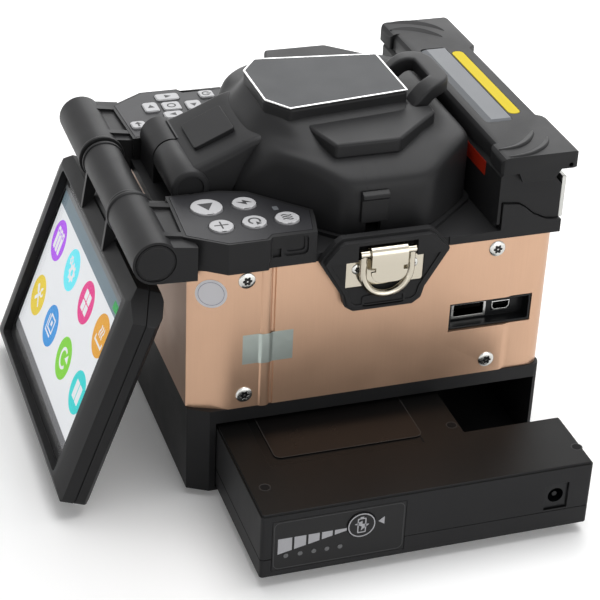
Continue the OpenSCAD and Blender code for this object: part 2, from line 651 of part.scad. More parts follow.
// ---- tube heater ----
trough_y0 = heater_front + 7.2;
module heater_body() color([0.2, 0.2, 0.2]) difference() {
  union() {
    side_cut(-hw + 0.5, hw - 0.5) polygon([[heater_front, z_deck],
      [heater_front, z_heater - 2], [heater_front + 1.6, z_heater],
      [trough_y0 + trough_w + 2.2, z_heater], [case_back - 3, z_heater - 4],
      [case_back, z_heater - 7.4], [case_back, z_deck]]);
    both() {
      bar_x(3.1, knuckle_x - 2, knuckle_x + 2, lid_axis_y, lid_axis_z);
      side_cut(knuckle_x - 2, knuckle_x + 2) polygon([[lid_axis_y - 3, z_heater - 9],
        [lid_axis_y - 3, lid_axis_z], [lid_axis_y + 3, lid_axis_z],
        [lid_axis_y - 0.9, z_heater - 9]]);
    }
  }
  // end cheeks of the frame stand outside the heater
  both() side_cut(hw - 3.2, hw + 1) offset(delta = fit) union() {
    cheek();
    translate([heater_front - 2, z_rim]) square([case_back, 5.4]);
  }
  // trough and the slots that a sleeve's ends lie in
  side_cut(-hw + 5, hw - 5) translate([trough_y0, z_heater - 17])
    square([trough_w, 20]);
  side_cut(-hw - 1, hw + 1) translate([trough_y0 + trough_w / 2 - 2.5, z_heater - 3.6])
    square([5, 8]);
  both() bar_x(pin_d / 2 + run, knuckle_x - 5.2, knuckle_x + 5.2, lid_axis_y, lid_axis_z);
}
module heater_trough() color([0.75, 0.75, 0.77])
  side_cut(-hw + 6, hw - 6) difference() {
    translate([trough_y0 + fit, z_heater - 16.7]) square([trough_w - 2 * fit, 13.6]);
    translate([trough_y0 + fit + 0.9, z_heater - 15.6])
      square([trough_w - 2 * fit - 1.8, 20]);
  }
module heater_rear_plate() color([0.7, 0.7, 0.71])
  front_cut(case_back + 0.2, case_back + 2) difference() {
    translate([-hw + 1, z_rim + 5.8]) square([case_w - 2, 17.4]);
    // notches round the two lid hinges
    both() translate([knuckle_x - 2.5, z_heater - 9.4]) square([5, 12]);
  }
lid_notch = lid_half - 13;
module lid_outline() {
  polygon(mir([[lid_notch - 3.4, heater_front + 0.5], [lid_notch - 2.2, heater_front + 0.9],
    [lid_notch - 0.9, heater_front + 0.6], [lid_notch, heater_front - 0.3],
    [lid_notch + 1, heater_front - 0.8], [lid_half - 3.4, heater_front - 1.1],
    [lid_half - 1.4, heater_front - 1], [lid_half - 0.3, heater_front - 0.2],
    [lid_half, heater_front + 0.9], [lid_half, case_back + 3], [lid_half - 0.6, case_back + 4.4],
    [lid_half - 2, case_back + 5], [lid_half - 29.5, case_back + 5],
    [lid_half - 30.8, case_back + 4.2], [lid_half - 33.4, case_back + 1]]));
}
module lid_profile(front) {
  translate([0, z_lid]) polygon([[heater_front + front, -lid_t],
    [heater_front + front, -3.2], [heater_front + front + 0.5, -1.5],
    [heater_front + front + 1.5, -0.4], [heater_front + front + 2.8, 0],
    [case_back + 3, 0], [case_back + 4.4, -0.6], [case_back + 5, -2], [case_back + 5, -lid_t]]);
}
module heater_lid() color([0.2, 0.2, 0.2]) difference() {
  union() {
    intersection() {
      slab(z_lid - lid_t, z_lid) lid_outline();
      // the middle of the front edge lies behind that of the two wings
      union() {
        side_cut(-lid_notch, lid_notch) lid_profile(0.5);
        both() side_cut(lid_notch - 0.1, lid_half) lid_profile(-1.2);
      }
    }
    both() side_cut(hw - 0.1, lid_half) polygon([[heater_front + 6, z_lid - lid_t + 0.5],
      [heater_front + 8, z_lid - lid_t - 4], [heater_front + 21, z_lid - lid_t - 4],
      [heater_front + 24, z_lid - lid_t + 0.5]]);
  }
  slab(z_lid - 1.5, z_lid + 1) translate([0, heater_front + 10.8])
    round_rect(lid_window_l + 0.4, 11.4, 2);
  slab(z_lid - 1, z_lid + 1) translate([0, heater_front + 19.6])
    round_rect(lid_strip_l + 0.4, 5.4, 2.4);
  both() {
    side_cut(knuckle_x - 2.3, knuckle_x + 2.3)
      translate([lid_axis_y - 4.4, z_lid - 12]) square([20, 11.1]);
    bar_x(pin_d / 2 + run, knuckle_x - 5.2, knuckle_x + 5.2, lid_axis_y, lid_axis_z);
    // blind hole in the end of the wing
    bar_x(0.9, lid_half - 2, lid_half + 1, lid_axis_y + 0.8, lid_axis_z - 1.2);
  }
  // hollow over the trough
  slab(z_lid - lid_t - 1, z_lid - lid_t + 2) translate([0, trough_y0 + trough_w / 2])
    square([case_w - 12, trough_w], center = true);
}
// its front edge has a broad bevel
module heater_window() color([0.55, 0.56, 0.57]) intersection() {
  slab(z_lid - 1.4, z_lid + 0.4) translate([0, heater_front + 10.8])
    round_rect(lid_window_l, 11, 1.8);
  side_cut(-lid_half, lid_half) translate([heater_front + 10.8, z_lid])
    polygon([[-6, -1.5], [-5.5, -1], [-3.1, 0.4], [5.1, 0.4], [5.5, 0], [6, -1.5]]);
  front_cut(heater_front, case_back) translate([0, z_lid]) polygon(
    mir([[lid_window_l / 2 + 0.5, -1.5], [lid_window_l / 2, -0.9], [lid_window_l / 2 - 1.4, 0.4]]));
}
module heater_strip() color([0.95, 0.87, 0.2])
  slab(z_lid - 0.9, z_lid + 0.1) translate([0, heater_front + 19.6])
    round_rect(lid_strip_l, 5, 2.2);

// ---- monitor, drawn hanging straight down from its hinge ----
module at_monitor() translate([0, hinge_y, hinge_z]) rotate([-monitor_lean, 0, 0]) children();
mw = monitor_w / 2;
module monitor_outline() {
  polygon(mir([[mw - 9.5, -monitor_top], [mw, -monitor_top - 10],
    [mw, -monitor_bottom + 3], [mw - 0.9, -monitor_bottom + 0.9],
    [mw - 3, -monitor_bottom]]));
}
window_top = monitor_top + 6.2;
window_w = monitor_w - 24;
window_h = 79.6;
lcd_w = window_w - 3;
lcd_h = window_h - 11.6;
module monitor_frame() color([0.25, 0.25, 0.25]) at_monitor() difference() {
  union() {
    intersection() {
      front_cut(-monitor_rim, 4.8) monitor_outline();
      slab(-monitor_bottom - 1, 0) polygon(mir([[mw - 8.6, -monitor_rim],
        [mw, -0.3], [mw, 4.8]]));
      side_cut(-mw, mw) polygon([[4.8, -monitor_top], [0, -monitor_top],
        [-monitor_rim, -monitor_top - 5.6], [-monitor_rim, -monitor_bottom + 4.8],
        [0, -monitor_bottom], [4.8, -monitor_bottom]]);
    }
    bar_x(mid_barrel_r, -mid_half, mid_half, 0, 0);
    side_cut(-20, 20) polygon([[1.6, 0], [7.4, 0], [7.4, -9], [4.8, -monitor_top + 0.2], [4.8, -monitor_top - 2],
      [0.6, -monitor_top - 2]]);
    for (x = [-19.2, 17]) side_cut(x, x + 2.2) polygon([[0, 2], [-7.4, 2],
      [-monitor_rim - 0.2, -window_top + 0.8], [0, -window_top + 0.8]]);
  }
  front_cut(-9, 1.1) translate([0, -window_top - window_h / 2])
    round_rect(window_w, window_h, 2);
  front_cut(0, 6) translate([0, -window_top - window_h / 2])
    square([lcd_w + 0.6, lcd_h + 0.6], center = true);
  both() bar_x(pin_d / 2 + run, 11.5, mid_half + 1, 0, 0);
  // finger relief along the lower edge
  slab(-monitor_bottom - 1, -monitor_bottom + 0.8)
    translate([0, -1]) square([73, 16], center = true);
}
module monitor_back() color([0.22, 0.22, 0.22]) at_monitor() intersection() {
  front_cut(5.1, monitor_t) monitor_outline();
  slab(-monitor_bottom - 1, 0) polygon(mir([[mw, 5], [mw, monitor_t - 2.4],
    [mw - 3, monitor_t]]));
  side_cut(-mw, mw) polygon([[5, -monitor_top], [monitor_t - 1.6, -monitor_top],
    [monitor_t, -monitor_top - 2.4], [monitor_t, -monitor_bottom + 3],
    [monitor_t - 0.5, -monitor_bottom + 0.6], [monitor_t - 2.4, -monitor_bottom],
    [5, -monitor_bottom]]);
}
module lcd_panel() color([0.9, 0.91, 0.93]) at_monitor()
  front_cut(1.3, 4.9) translate([0, -window_top - window_h / 2])
    square([lcd_w, lcd_h], center = true);
module cover_glass() color([0.7, 0.75, 0.78]) at_monitor()
  front_cut(0, 1) translate([0, -window_top - window_h / 2])
    round_rect(window_w - 0.6, window_h - 0.6, 1.8);

// ---- hood ----
hood_z0 = z_seat + fit;
module hood_solid(t) {
  intersection() {
    slab(hood_z0 - t, z_roof) hood_outline(t);
    side_cut(-70, 70) polygon([[-47.6 + t, hood_z0 - 1 - t], [-47.6 + t, z_rim + 11.5 - t / 2],
      [-34 + t / 2, z_roof - t], [hood_back - 1.6 - t / 2, z_roof - t],
      [hood_back - t, z_roof - 1.6 - t / 2], [hood_back - t, hood_z0 - 1 - t]]);
    front_cut(-60, 60) polygon(mir([[hood_half - t, hood_z0 - 1 - t],
      [hood_half - t, z_roof - 6.1 - t / 2], [hood_half - 12 - t / 2, z_roof - t]]));
  }
}
module hood_shell() color([0.2, 0.2, 0.2]) difference() {
  union() {
    hood_solid(0);
    side_cut(-23, 23) polygon([[hood_y, hood_z + hood_barrel_r - 0.1],
      [hood_y + 5.5, hood_z + 9], [-45, z_roof - 4.5], [-36, z_roof - 0.4],
      [-33, z_roof - 0.4], [-33, z_roof - 12], [-46, hood_z - 6],
      [hood_y + 6, hood_z - 3.6], [hood_y, hood_z]]);
    bar_x(hood_barrel_r, -3.9, 25, hood_y, hood_z);
    grip_loop();
  }
  hood_solid(hood_t);
  // room for the fixed knuckle on the left half
  bar_x(hood_barrel_r + 0.5, -26, -3.9, hood_y, hood_z);
  side_cut(-26, -3.9) polygon([[hood_y - 12, hood_z - 12], [hood_y, hood_z - 12],
    [hood_y + 7.9, hood_z - 12], [hood_y + 7.9, hood_z + 1], [hood_y - 12, hood_z + 1]]);
  bar_x(pin_d / 2 + run, -5, 24, hood_y, hood_z);
  bar_x(5.2, 24, 26, hood_y, hood_z);
  // notches for the fibre at both sides
  translate([-hood_half - 1, fy - 3, hood_z0 - 1]) cube([2 * hood_half + 2, 6, 5.4]);
}
// flat loop behind the raised plate, lifted with one finger
module grip_loop() {
  slab(z_roof + loop_h - 6, z_roof + loop_h) difference() {
    polygon(mir([[17.5, 33], [17.3, 37], [13, hood_back - 0.2]]));
    polygon(mir([[9, 30], [9, 37], [7.4, 41.6]]));
  }
  for (x = [-17.4, 9.2]) side_cut(x, x + 8.2) polygon([[29, z_roof - 1],
    [31, z_roof + loop_h - 2], [37, z_roof + loop_h - 2], [42.6, z_roof - 1]]);
}
module plate_outline() {
  polygon(mir([[16, -22], [hood_half - 12.4, -13.5], [hood_half - 12.4, 12.5],
    [hood_half - 32, hood_back - 11], [20, hood_back - 10.6], [20, hood_back - 17.4]]));
}
module plaque_outline() { polygon(mir([[14.1, -32], [24, -24.7], [18, 25.2]])); }
module hood_plate() color([0.23, 0.23, 0.23]) {
  slab(z_roof, z_plate) difference() {
    plate_outline();
    translate([-18.5, hood_back - 17]) square([37, 10]);
  }
  slab(z_roof, z_plaque) plaque_outline();
}
module plaque() color([0.16, 0.16, 0.165])
  slab(z_plaque, z_plaque + plaque_t - 0.1) offset(delta = -0.85) plaque_outline();
module plaque_rim() color([0.85, 0.85, 0.85])
  slab(z_plaque, z_plaque + plaque_t) difference() {
    plaque_outline();
    offset(delta = -0.8) plaque_outline();
  }
module side_clips() color([0.18, 0.18, 0.18]) both()
  front_cut(fy - 5.4, fy + 5.4) polygon([[hood_half + 0.05, z_rim + 10.5],
    [hood_half + 1.3, z_rim + 10.5], [hood_half + 1.3, z_rim + 20],
    [hood_half + 2.6, z_rim + 20.7], [hood_half + 2.6, z_rim + 22.4],
    [hood_half + 0.6, z_rim + 23.3], [hood_half + 0.05, z_rim + 23.3]]);
module fibre_pressers() color([0.85, 0.85, 0.83]) {
  slab(z_roof - hood_t - 2.6, z_roof - hood_t - 0.1) translate([0, fy])
    round_rect(24, 9, 2);
  both() translate([6, fy, fz + 0.5]) {
    cylinder(r = 1.2, h = z_roof - hood_t - fz - 2.9);
    cylinder(r = 2, h = 2.4);
  }
}

// ---- battery ----
module battery_outline() {
  offset(r = 1.4, $fn = 24) offset(delta = -1.4) polygon([[bat_x0, bat_y0],
    [bat_x1, bat_y0], [bat_x1, bat_y1], [bat_x1 - bar_d, bat_y1],
    [bat_x1 - bar_d, bat_y0 + neck_w], [bat_x0, bat_y0 + neck_w]]);
}
module panel_recess() {
  side_cut(bat_x1 - 0.8, bat_x1 + 1) translate([panel_y0, panel_z0])
    square([panel_l, panel_h]);
}
module battery_lower() color([0.13, 0.13, 0.13]) difference() {
  slab(bat_z0, seam_z) battery_outline();
  panel_recess();
}
module battery_upper() color([0.14, 0.14, 0.14]) difference() {
  union() {
    slab(seam_z + 0.2, bat_z1 - 0.9) battery_outline();
    slab(bat_z1 - 0.9, bat_z1) offset(delta = -0.7) battery_outline();
  }
  panel_recess();
  // shallow seat of the plain label on the neck
  slab(bat_z1 - 0.4, bat_z1 + 1) translate([bat_x0 + 12, bat_y0 + 12])
    square([battery_l - bar_d - 12 + 3, 62]);
  side_cut(bat_x1 - 12.3, bat_x1 + 1) translate([jack_y, jack_z])
    square([9.6, 11.6], center = true);
  bar_x(check_d / 2 + 0.9, bat_x1 - 3.4, bat_x1, check_y, check_z);
}
module battery_panel() color([0.3, 0.3, 0.3]) difference() {
  side_cut(bat_x1 - 0.7, bat_x1 - 0.1) translate([panel_y0 + 0.15, panel_z0 + 0.15])
    square([panel_l - 0.3, panel_h - 0.3]);
  bar_x(check_d / 2 + fit, bat_x1 - 2, bat_x1 + 1, check_y, check_z);
}
module check_button() color([0.3, 0.3, 0.3])
  translate([bat_x1, check_y, check_z]) rotate([0, 90, 0]) rotate_extrude()
    polygon([[0, -2.4], [check_d / 2 + 0.6, -2.4], [check_d / 2 + 0.6, -1],
      [check_d / 2, -1], [check_d / 2, 0.2], [check_d / 2 - 0.4, 0.5], [0, 0.5]]);
module dc_jack() color([0.1, 0.1, 0.1]) {
  difference() {
    side_cut(bat_x1 - 12.1, bat_x1 - 1) translate([jack_y, jack_z])
      square([9.4, 11.4], center = true);
    bar_x(jack_d / 2, bat_x1 - 10.6, bat_x1, jack_y, jack_z);
  }
  bar_x(jack_pin_d / 2, bat_x1 - 11, bat_x1 - 2, jack_y, jack_z);
}

// ---- keys ----
module key_set() color([0.88, 0.88, 0.88]) round_key(0);
module key_cross() color([0.88, 0.88, 0.88]) round_key(1);
module key_arc() color([0.88, 0.88, 0.88]) round_key(2);
module key_reset() color([0.88, 0.88, 0.88]) round_key(3);
module key_heat() color([0.88, 0.88, 0.88]) round_key(4);
module pad_up() color([0.88, 0.88, 0.88]) pad_key(0);
module pad_down() color([0.88, 0.88, 0.88]) pad_key(1);
module pad_left() color([0.88, 0.88, 0.88]) pad_key(2);
module pad_right() color([0.88, 0.88, 0.88]) pad_key(3);
module pad_ok() color([0.88, 0.88, 0.88]) pad_key(4);
module key_menu() color([0.88, 0.88, 0.88]) pad_key(5);
module key_back() color([0.88, 0.88, 0.88]) pad_key(6);
module key_power() color([0.88, 0.88, 0.88]) pad_key(7);

base_tray();
rubber_feet();
metal_case();
case_screws();
top_frame();
hinge_caps();
hinge_pins();
right_inlay();
left_inlay();
strap_bracket_right();
strap_bracket_left();
strap_plates();
port_bezel();
usb_port();
mini_port();
stage_tub();
stage_plate();
v_groove_blocks();
electrodes();
electrode_holders();
objective_lenses();
clamp_bases();
heater_body();
heater_trough();
heater_rear_plate();
monitor_frame();
monitor_back();
lcd_panel();
cover_glass();
hood_shell();
hood_plate();
plaque();
plaque_rim();
side_clips();
fibre_pressers();
heater_lid();
heater_window();
heater_strip();
battery_lower();
battery_upper();
battery_panel();
check_button();
dc_jack();
d_ring_right();
d_ring_left();
clamp_lid_right();
clamp_lid_left();
key_set();
key_cross();
key_arc();
key_reset();
key_heat();
pad_up();
pad_down();
pad_left();
pad_right();
pad_ok();
key_menu();
key_back();
key_power();
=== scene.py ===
import json
import math
import bpy
import bmesh
import numpy as np
from mathutils import Matrix, Vector

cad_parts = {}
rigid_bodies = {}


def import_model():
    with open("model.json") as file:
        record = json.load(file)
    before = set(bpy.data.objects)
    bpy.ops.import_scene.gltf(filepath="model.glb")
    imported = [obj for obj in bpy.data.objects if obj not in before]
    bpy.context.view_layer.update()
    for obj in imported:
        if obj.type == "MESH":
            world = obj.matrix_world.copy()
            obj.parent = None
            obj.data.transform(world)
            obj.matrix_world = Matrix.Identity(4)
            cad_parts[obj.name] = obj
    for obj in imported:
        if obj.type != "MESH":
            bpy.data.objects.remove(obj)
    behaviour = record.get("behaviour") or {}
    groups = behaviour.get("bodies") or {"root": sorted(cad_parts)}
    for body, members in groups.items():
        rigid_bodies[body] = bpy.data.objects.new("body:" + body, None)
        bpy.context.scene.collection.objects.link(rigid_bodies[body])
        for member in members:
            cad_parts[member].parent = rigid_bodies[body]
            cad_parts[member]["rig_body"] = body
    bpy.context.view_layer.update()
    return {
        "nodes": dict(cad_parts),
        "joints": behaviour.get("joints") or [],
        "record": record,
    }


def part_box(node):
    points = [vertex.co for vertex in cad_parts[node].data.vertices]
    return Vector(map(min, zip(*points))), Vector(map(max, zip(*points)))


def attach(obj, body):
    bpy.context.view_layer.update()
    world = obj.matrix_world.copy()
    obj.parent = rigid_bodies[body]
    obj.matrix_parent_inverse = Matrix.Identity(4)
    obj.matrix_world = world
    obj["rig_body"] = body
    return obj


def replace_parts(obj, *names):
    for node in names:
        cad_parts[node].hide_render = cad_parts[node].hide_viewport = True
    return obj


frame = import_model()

scene = bpy.context.scene
mm = 0.001
white = (1, 1, 1, 1)

shot = {
    # angles in degrees, lens, sensor and place in mm
    "azimuth": 70.65, "elevation": 30.79, "roll": 2.62, "lens": 112.98, "sensor": 36,
    "place": (637.05, -232.58, 443.48),
}


def makeCamera(s):
    a, e, r = (math.radians(s[k]) for k in ("azimuth", "elevation", "roll"))
    back = Vector((math.sin(a) * math.cos(e), -math.cos(a) * math.cos(e), math.sin(e)))
    level = Vector((math.cos(a), math.sin(a), 0))
    right = level * math.cos(r) + back.cross(level) * math.sin(r)
    data = bpy.data.cameras.new("camera")
    data.lens, data.sensor_width = s["lens"], s["sensor"]
    data.clip_start, data.clip_end = 0.02, 20
    cam = bpy.data.objects.new("camera", data)
    turn = Matrix((right, back.cross(right), back)).transposed().to_4x4()
    cam.matrix_world = Matrix.Translation(Vector(s["place"]) * mm) @ turn
    scene.collection.objects.link(cam)
    scene.camera = cam


makeCamera(shot)
scene.view_settings.view_transform = "Standard"


def setSockets(tree, node, values):
    # a plain value is written on the socket; another node's output is linked to it
    for key, value in values.items():
        if isinstance(value, bpy.types.NodeSocket):
            tree.links.new(value, node.inputs[key])
        else:
            node.inputs[key].default_value = value


def addNode(tree, kind, values, **settings):
    node = tree.nodes.new("ShaderNode" + kind)
    for key, value in settings.items():
        setattr(node, key, value)
    setSockets(tree, node, values)
    return node


def mathNode(tree, operation, a, b):
    return addNode(tree, "Math", {0: a, 1: b}, operation=operation).outputs[0]


def mixColours(tree, factor, first, second):
    return addNode(tree, "Mix", {"Factor": factor, 6: first, 7: second}, data_type="RGBA").outputs[2]


def objectPlace(tree):
    return addNode(tree, "TexCoord", {}).outputs["Object"]


def seenPath(tree):
    # 1 for camera, glossy and see-through rays, 0 for the rays that carry light between dull surfaces
    rays = addNode(tree, "LightPath", {}).outputs
    shiny = mathNode(tree, "MAXIMUM", rays["Is Camera Ray"], rays["Is Glossy Ray"])
    return mathNode(tree, "MAXIMUM", shiny, rays["Is Transmission Ray"])


def newMaterial(name):
    mat = bpy.data.materials.new(name)
    mat.use_nodes = True
    return mat, mat.node_tree, mat.node_tree.nodes["Principled BSDF"]


studio = {
    # the floor looks white but throws little light back up, so that the sides stay darker than the tops
    "floorZ": -3.0, "floorHalf": 2200.0, "floorSeen": 1.0, "floorThrown": 0.3, "floorRough": 0.8,
    # a little added to what is seen near the object, more far from it, and the metres over which it grows
    "liftNear": 0.1, "liftFar": 1.0, "liftSpan": (0.2, 0.9),
    "worldLight": 0.3,
    # name: place, aim, size, power
    "lamps": {
        "topSoft": ((-60, 150, 950), (10, 10, 60), 800, 7.6),
        "rightSoft": ((900, 300, 320), (40, 20, 60), 600, 2.2),
        "rearSoft": ((-800, 330, 520), (0, 0, 110), 700, 2.1),
    },
}


def makeWorld(s):
    scene.world = bpy.data.worlds.new("studio")
    scene.world.use_nodes = True
    tree = scene.world.node_tree
    plain = tree.nodes["Background"]
    setSockets(tree, plain, {"Strength": s["worldLight"], "Color": white})
    shown = addNode(tree, "Background", {"Color": white})
    mix = addNode(tree, "MixShader", {0: seenPath(tree), 1: plain.outputs[0], 2: shown.outputs[0]})
    setSockets(tree, tree.nodes["World Output"], {0: mix.outputs[0]})


def makeLamps(s):
    for name, (place, aim, size, power) in s["lamps"].items():
        data = bpy.data.lights.new(name, "AREA")
        data.shape, data.size, data.energy = "SQUARE", size * mm, power
        lamp = bpy.data.objects.new(name, data)
        lamp.location = Vector(place) * mm
        lamp.rotation_mode = "QUATERNION"
        way = (Vector(aim) - Vector(place)).normalized()
        lamp.rotation_quaternion = way.to_track_quat("-Z", "Y")
        scene.collection.objects.link(lamp)


def makeFloor(s):
    h, z = s["floorHalf"] * mm, s["floorZ"] * mm
    mesh = bpy.data.meshes.new("floor")
    mesh.from_pydata([(-h, -h, z), (h, -h, z), (h, h, z), (-h, h, z)], [], [(0, 1, 2, 3)])
    floor = bpy.data.objects.new("floor", mesh)
    scene.collection.objects.link(floor)
    mat, tree, shader = newMaterial("paleFloor")
    seen = seenPath(tree)
    thrown, shown = ((*[s[key]] * 3, 1) for key in ("floorThrown", "floorSeen"))
    apart = addNode(tree, "VectorMath", {0: objectPlace(tree)}, operation="LENGTH").outputs["Value"]
    near, far = s["liftSpan"]
    lift = addNode(tree, "MapRange", {"Value": apart, "From Min": near, "From Max": far,
                                      "To Min": s["liftNear"], "To Max": s["liftFar"]}).outputs["Result"]
    setSockets(tree, shader, {
        "Roughness": s["floorRough"], "Base Color": mixColours(tree, seen, thrown, shown),
        "Emission Color": white, "Emission Strength": mathNode(tree, "MULTIPLY", seen, lift)})
    mesh.materials.append(mat)


makeWorld(studio)
makeLamps(studio)
makeFloor(studio)
print("camera, floor and lamps are in place")

slotOf = {p["node"]: p["material_slot"] for p in frame["record"]["subparts"]}


def colourOf(levels):
    # 0 to 255 as seen on a screen -> linear light, with alpha
    v = np.array(levels, float) / 255
    return [*np.where(v <= 0.04045, v / 12.92, ((v + 0.055) / 1.055) ** 2.4), 1.0]


def nodeGroup(name, inputs, outputs):
    # sockets are (label, kind, value) and (label, kind); v is a value, c a colour, n a direction
    tree = bpy.data.node_groups.new(name, "ShaderNodeTree")
    kinds = {"v": "NodeSocketFloat", "c": "NodeSocketColor", "n": "NodeSocketVector"}
    for label, kind, value in inputs:
        socket = tree.interface.new_socket(label, in_out="INPUT", socket_type=kinds[kind])
        socket.default_value = value
    for label, kind in outputs:
        tree.interface.new_socket(label, in_out="OUTPUT", socket_type=kinds[kind])
    return tree, tree.nodes.new("NodeGroupInput").outputs, tree.nodes.new("NodeGroupOutput")


def noiseAt(tree, size, detail, stretch=None):
    # noise whose cells measure about size millimetres; stretch draws them out along an axis
    place = objectPlace(tree)
    if stretch is not None:
        place = addNode(tree, "VectorMath", {0: place, 1: stretch}, operation="MULTIPLY").outputs[0]
    scale = mathNode(tree, "DIVIDE", 1000.0, size)
    return addNode(tree, "TexNoise", {"Detail": detail, "Vector": place, "Scale": scale}).outputs["Fac"]


def scaleColour(tree, colour, level):
    return addNode(tree, "VectorMath", {0: colour, "Scale": level}, operation="SCALE").outputs[0]


def wander(tree, value, spread, base):
    # base plus twice the spread times how far the noise is from its middle
    apart = mathNode(tree, "SUBTRACT", value, 0.5)
    twice = mathNode(tree, "MULTIPLY", spread, 2.0)
    return mathNode(tree, "ADD", mathNode(tree, "MULTIPLY", apart, twice), base)


def makeGroups():
    plain = (0.5, 0.5, 0.5, 1)
    # spark-eroded grain of a mould: fine noise with scattered shallow pits
    tree, given, out = nodeGroup("mouldGrain", [("Size", "v", 0.4)], [("Height", "v")])
    pits = addNode(tree, "TexVoronoi", {"Vector": objectPlace(tree),
                                        "Scale": mathNode(tree, "DIVIDE", 760.0, given["Size"])})
    depth = mathNode(tree, "MULTIPLY", pits.outputs["Distance"], 0.5)
    setSockets(tree, out, {"Height": mathNode(tree, "ADD", noiseAt(tree, given["Size"], 3.0), depth)})
    # slow change of tone over a surface
    inputs = [("Colour", "c", plain), ("Spread", "v", 0.1), ("Size", "v", 30.0)]
    tree, given, out = nodeGroup("toneDrift", inputs, [("Colour", "c")])
    level = wander(tree, noiseAt(tree, given["Size"], 2.0), given["Spread"], 1.0)
    setSockets(tree, out, {"Colour": scaleColour(tree, given["Colour"], level)})
    # handling smudges: roughness wanders about its middle
    inputs = [("Roughness", "v", 0.4), ("Spread", "v", 0.08), ("Size", "v", 14.0)]
    tree, given, out = nodeGroup("handling", inputs, [("Roughness", "v")])
    rough = wander(tree, noiseAt(tree, given["Size"], 4.0), given["Spread"], given["Roughness"])
    setSockets(tree, out, {"Roughness": rough})
    # hairlines of brushed metal, drawn out along the axis with the small factor: relief and a change of tone
    inputs = [("Colour", "c", plain), ("Size", "v", 0.3), ("Stretch", "n", (1, 1, 0.02)), ("Tone", "v", 0.04)]
    tree, given, out = nodeGroup("hairline", inputs, [("Height", "v"), ("Colour", "c")])
    lines = noiseAt(tree, given["Size"], 3.0, given["Stretch"])
    level = wander(tree, lines, given["Tone"], 1.0)
    setSockets(tree, out, {"Height": lines, "Colour": scaleColour(tree, given["Colour"], level)})
    # one beyond a distance along X from the middle, in millimetres, none nearer: the part of a port shell
    # left out of its painted shade
    tree, given, out = nodeGroup("mouthMask", [("Level", "v", 60.0)], [("Mask", "v")])
    place = addNode(tree, "SeparateXYZ", {0: objectPlace(tree)}).outputs
    far = mathNode(tree, "MULTIPLY", mathNode(tree, "ABSOLUTE", place["X"], 0.0), 1000.0)
    past = mathNode(tree, "MULTIPLY", mathNode(tree, "SUBTRACT", far, given["Level"]), 4.0)
    setSockets(tree, out, {"Mask": addNode(tree, "Clamp", {"Value": past}).outputs[0]})


makeGroups()

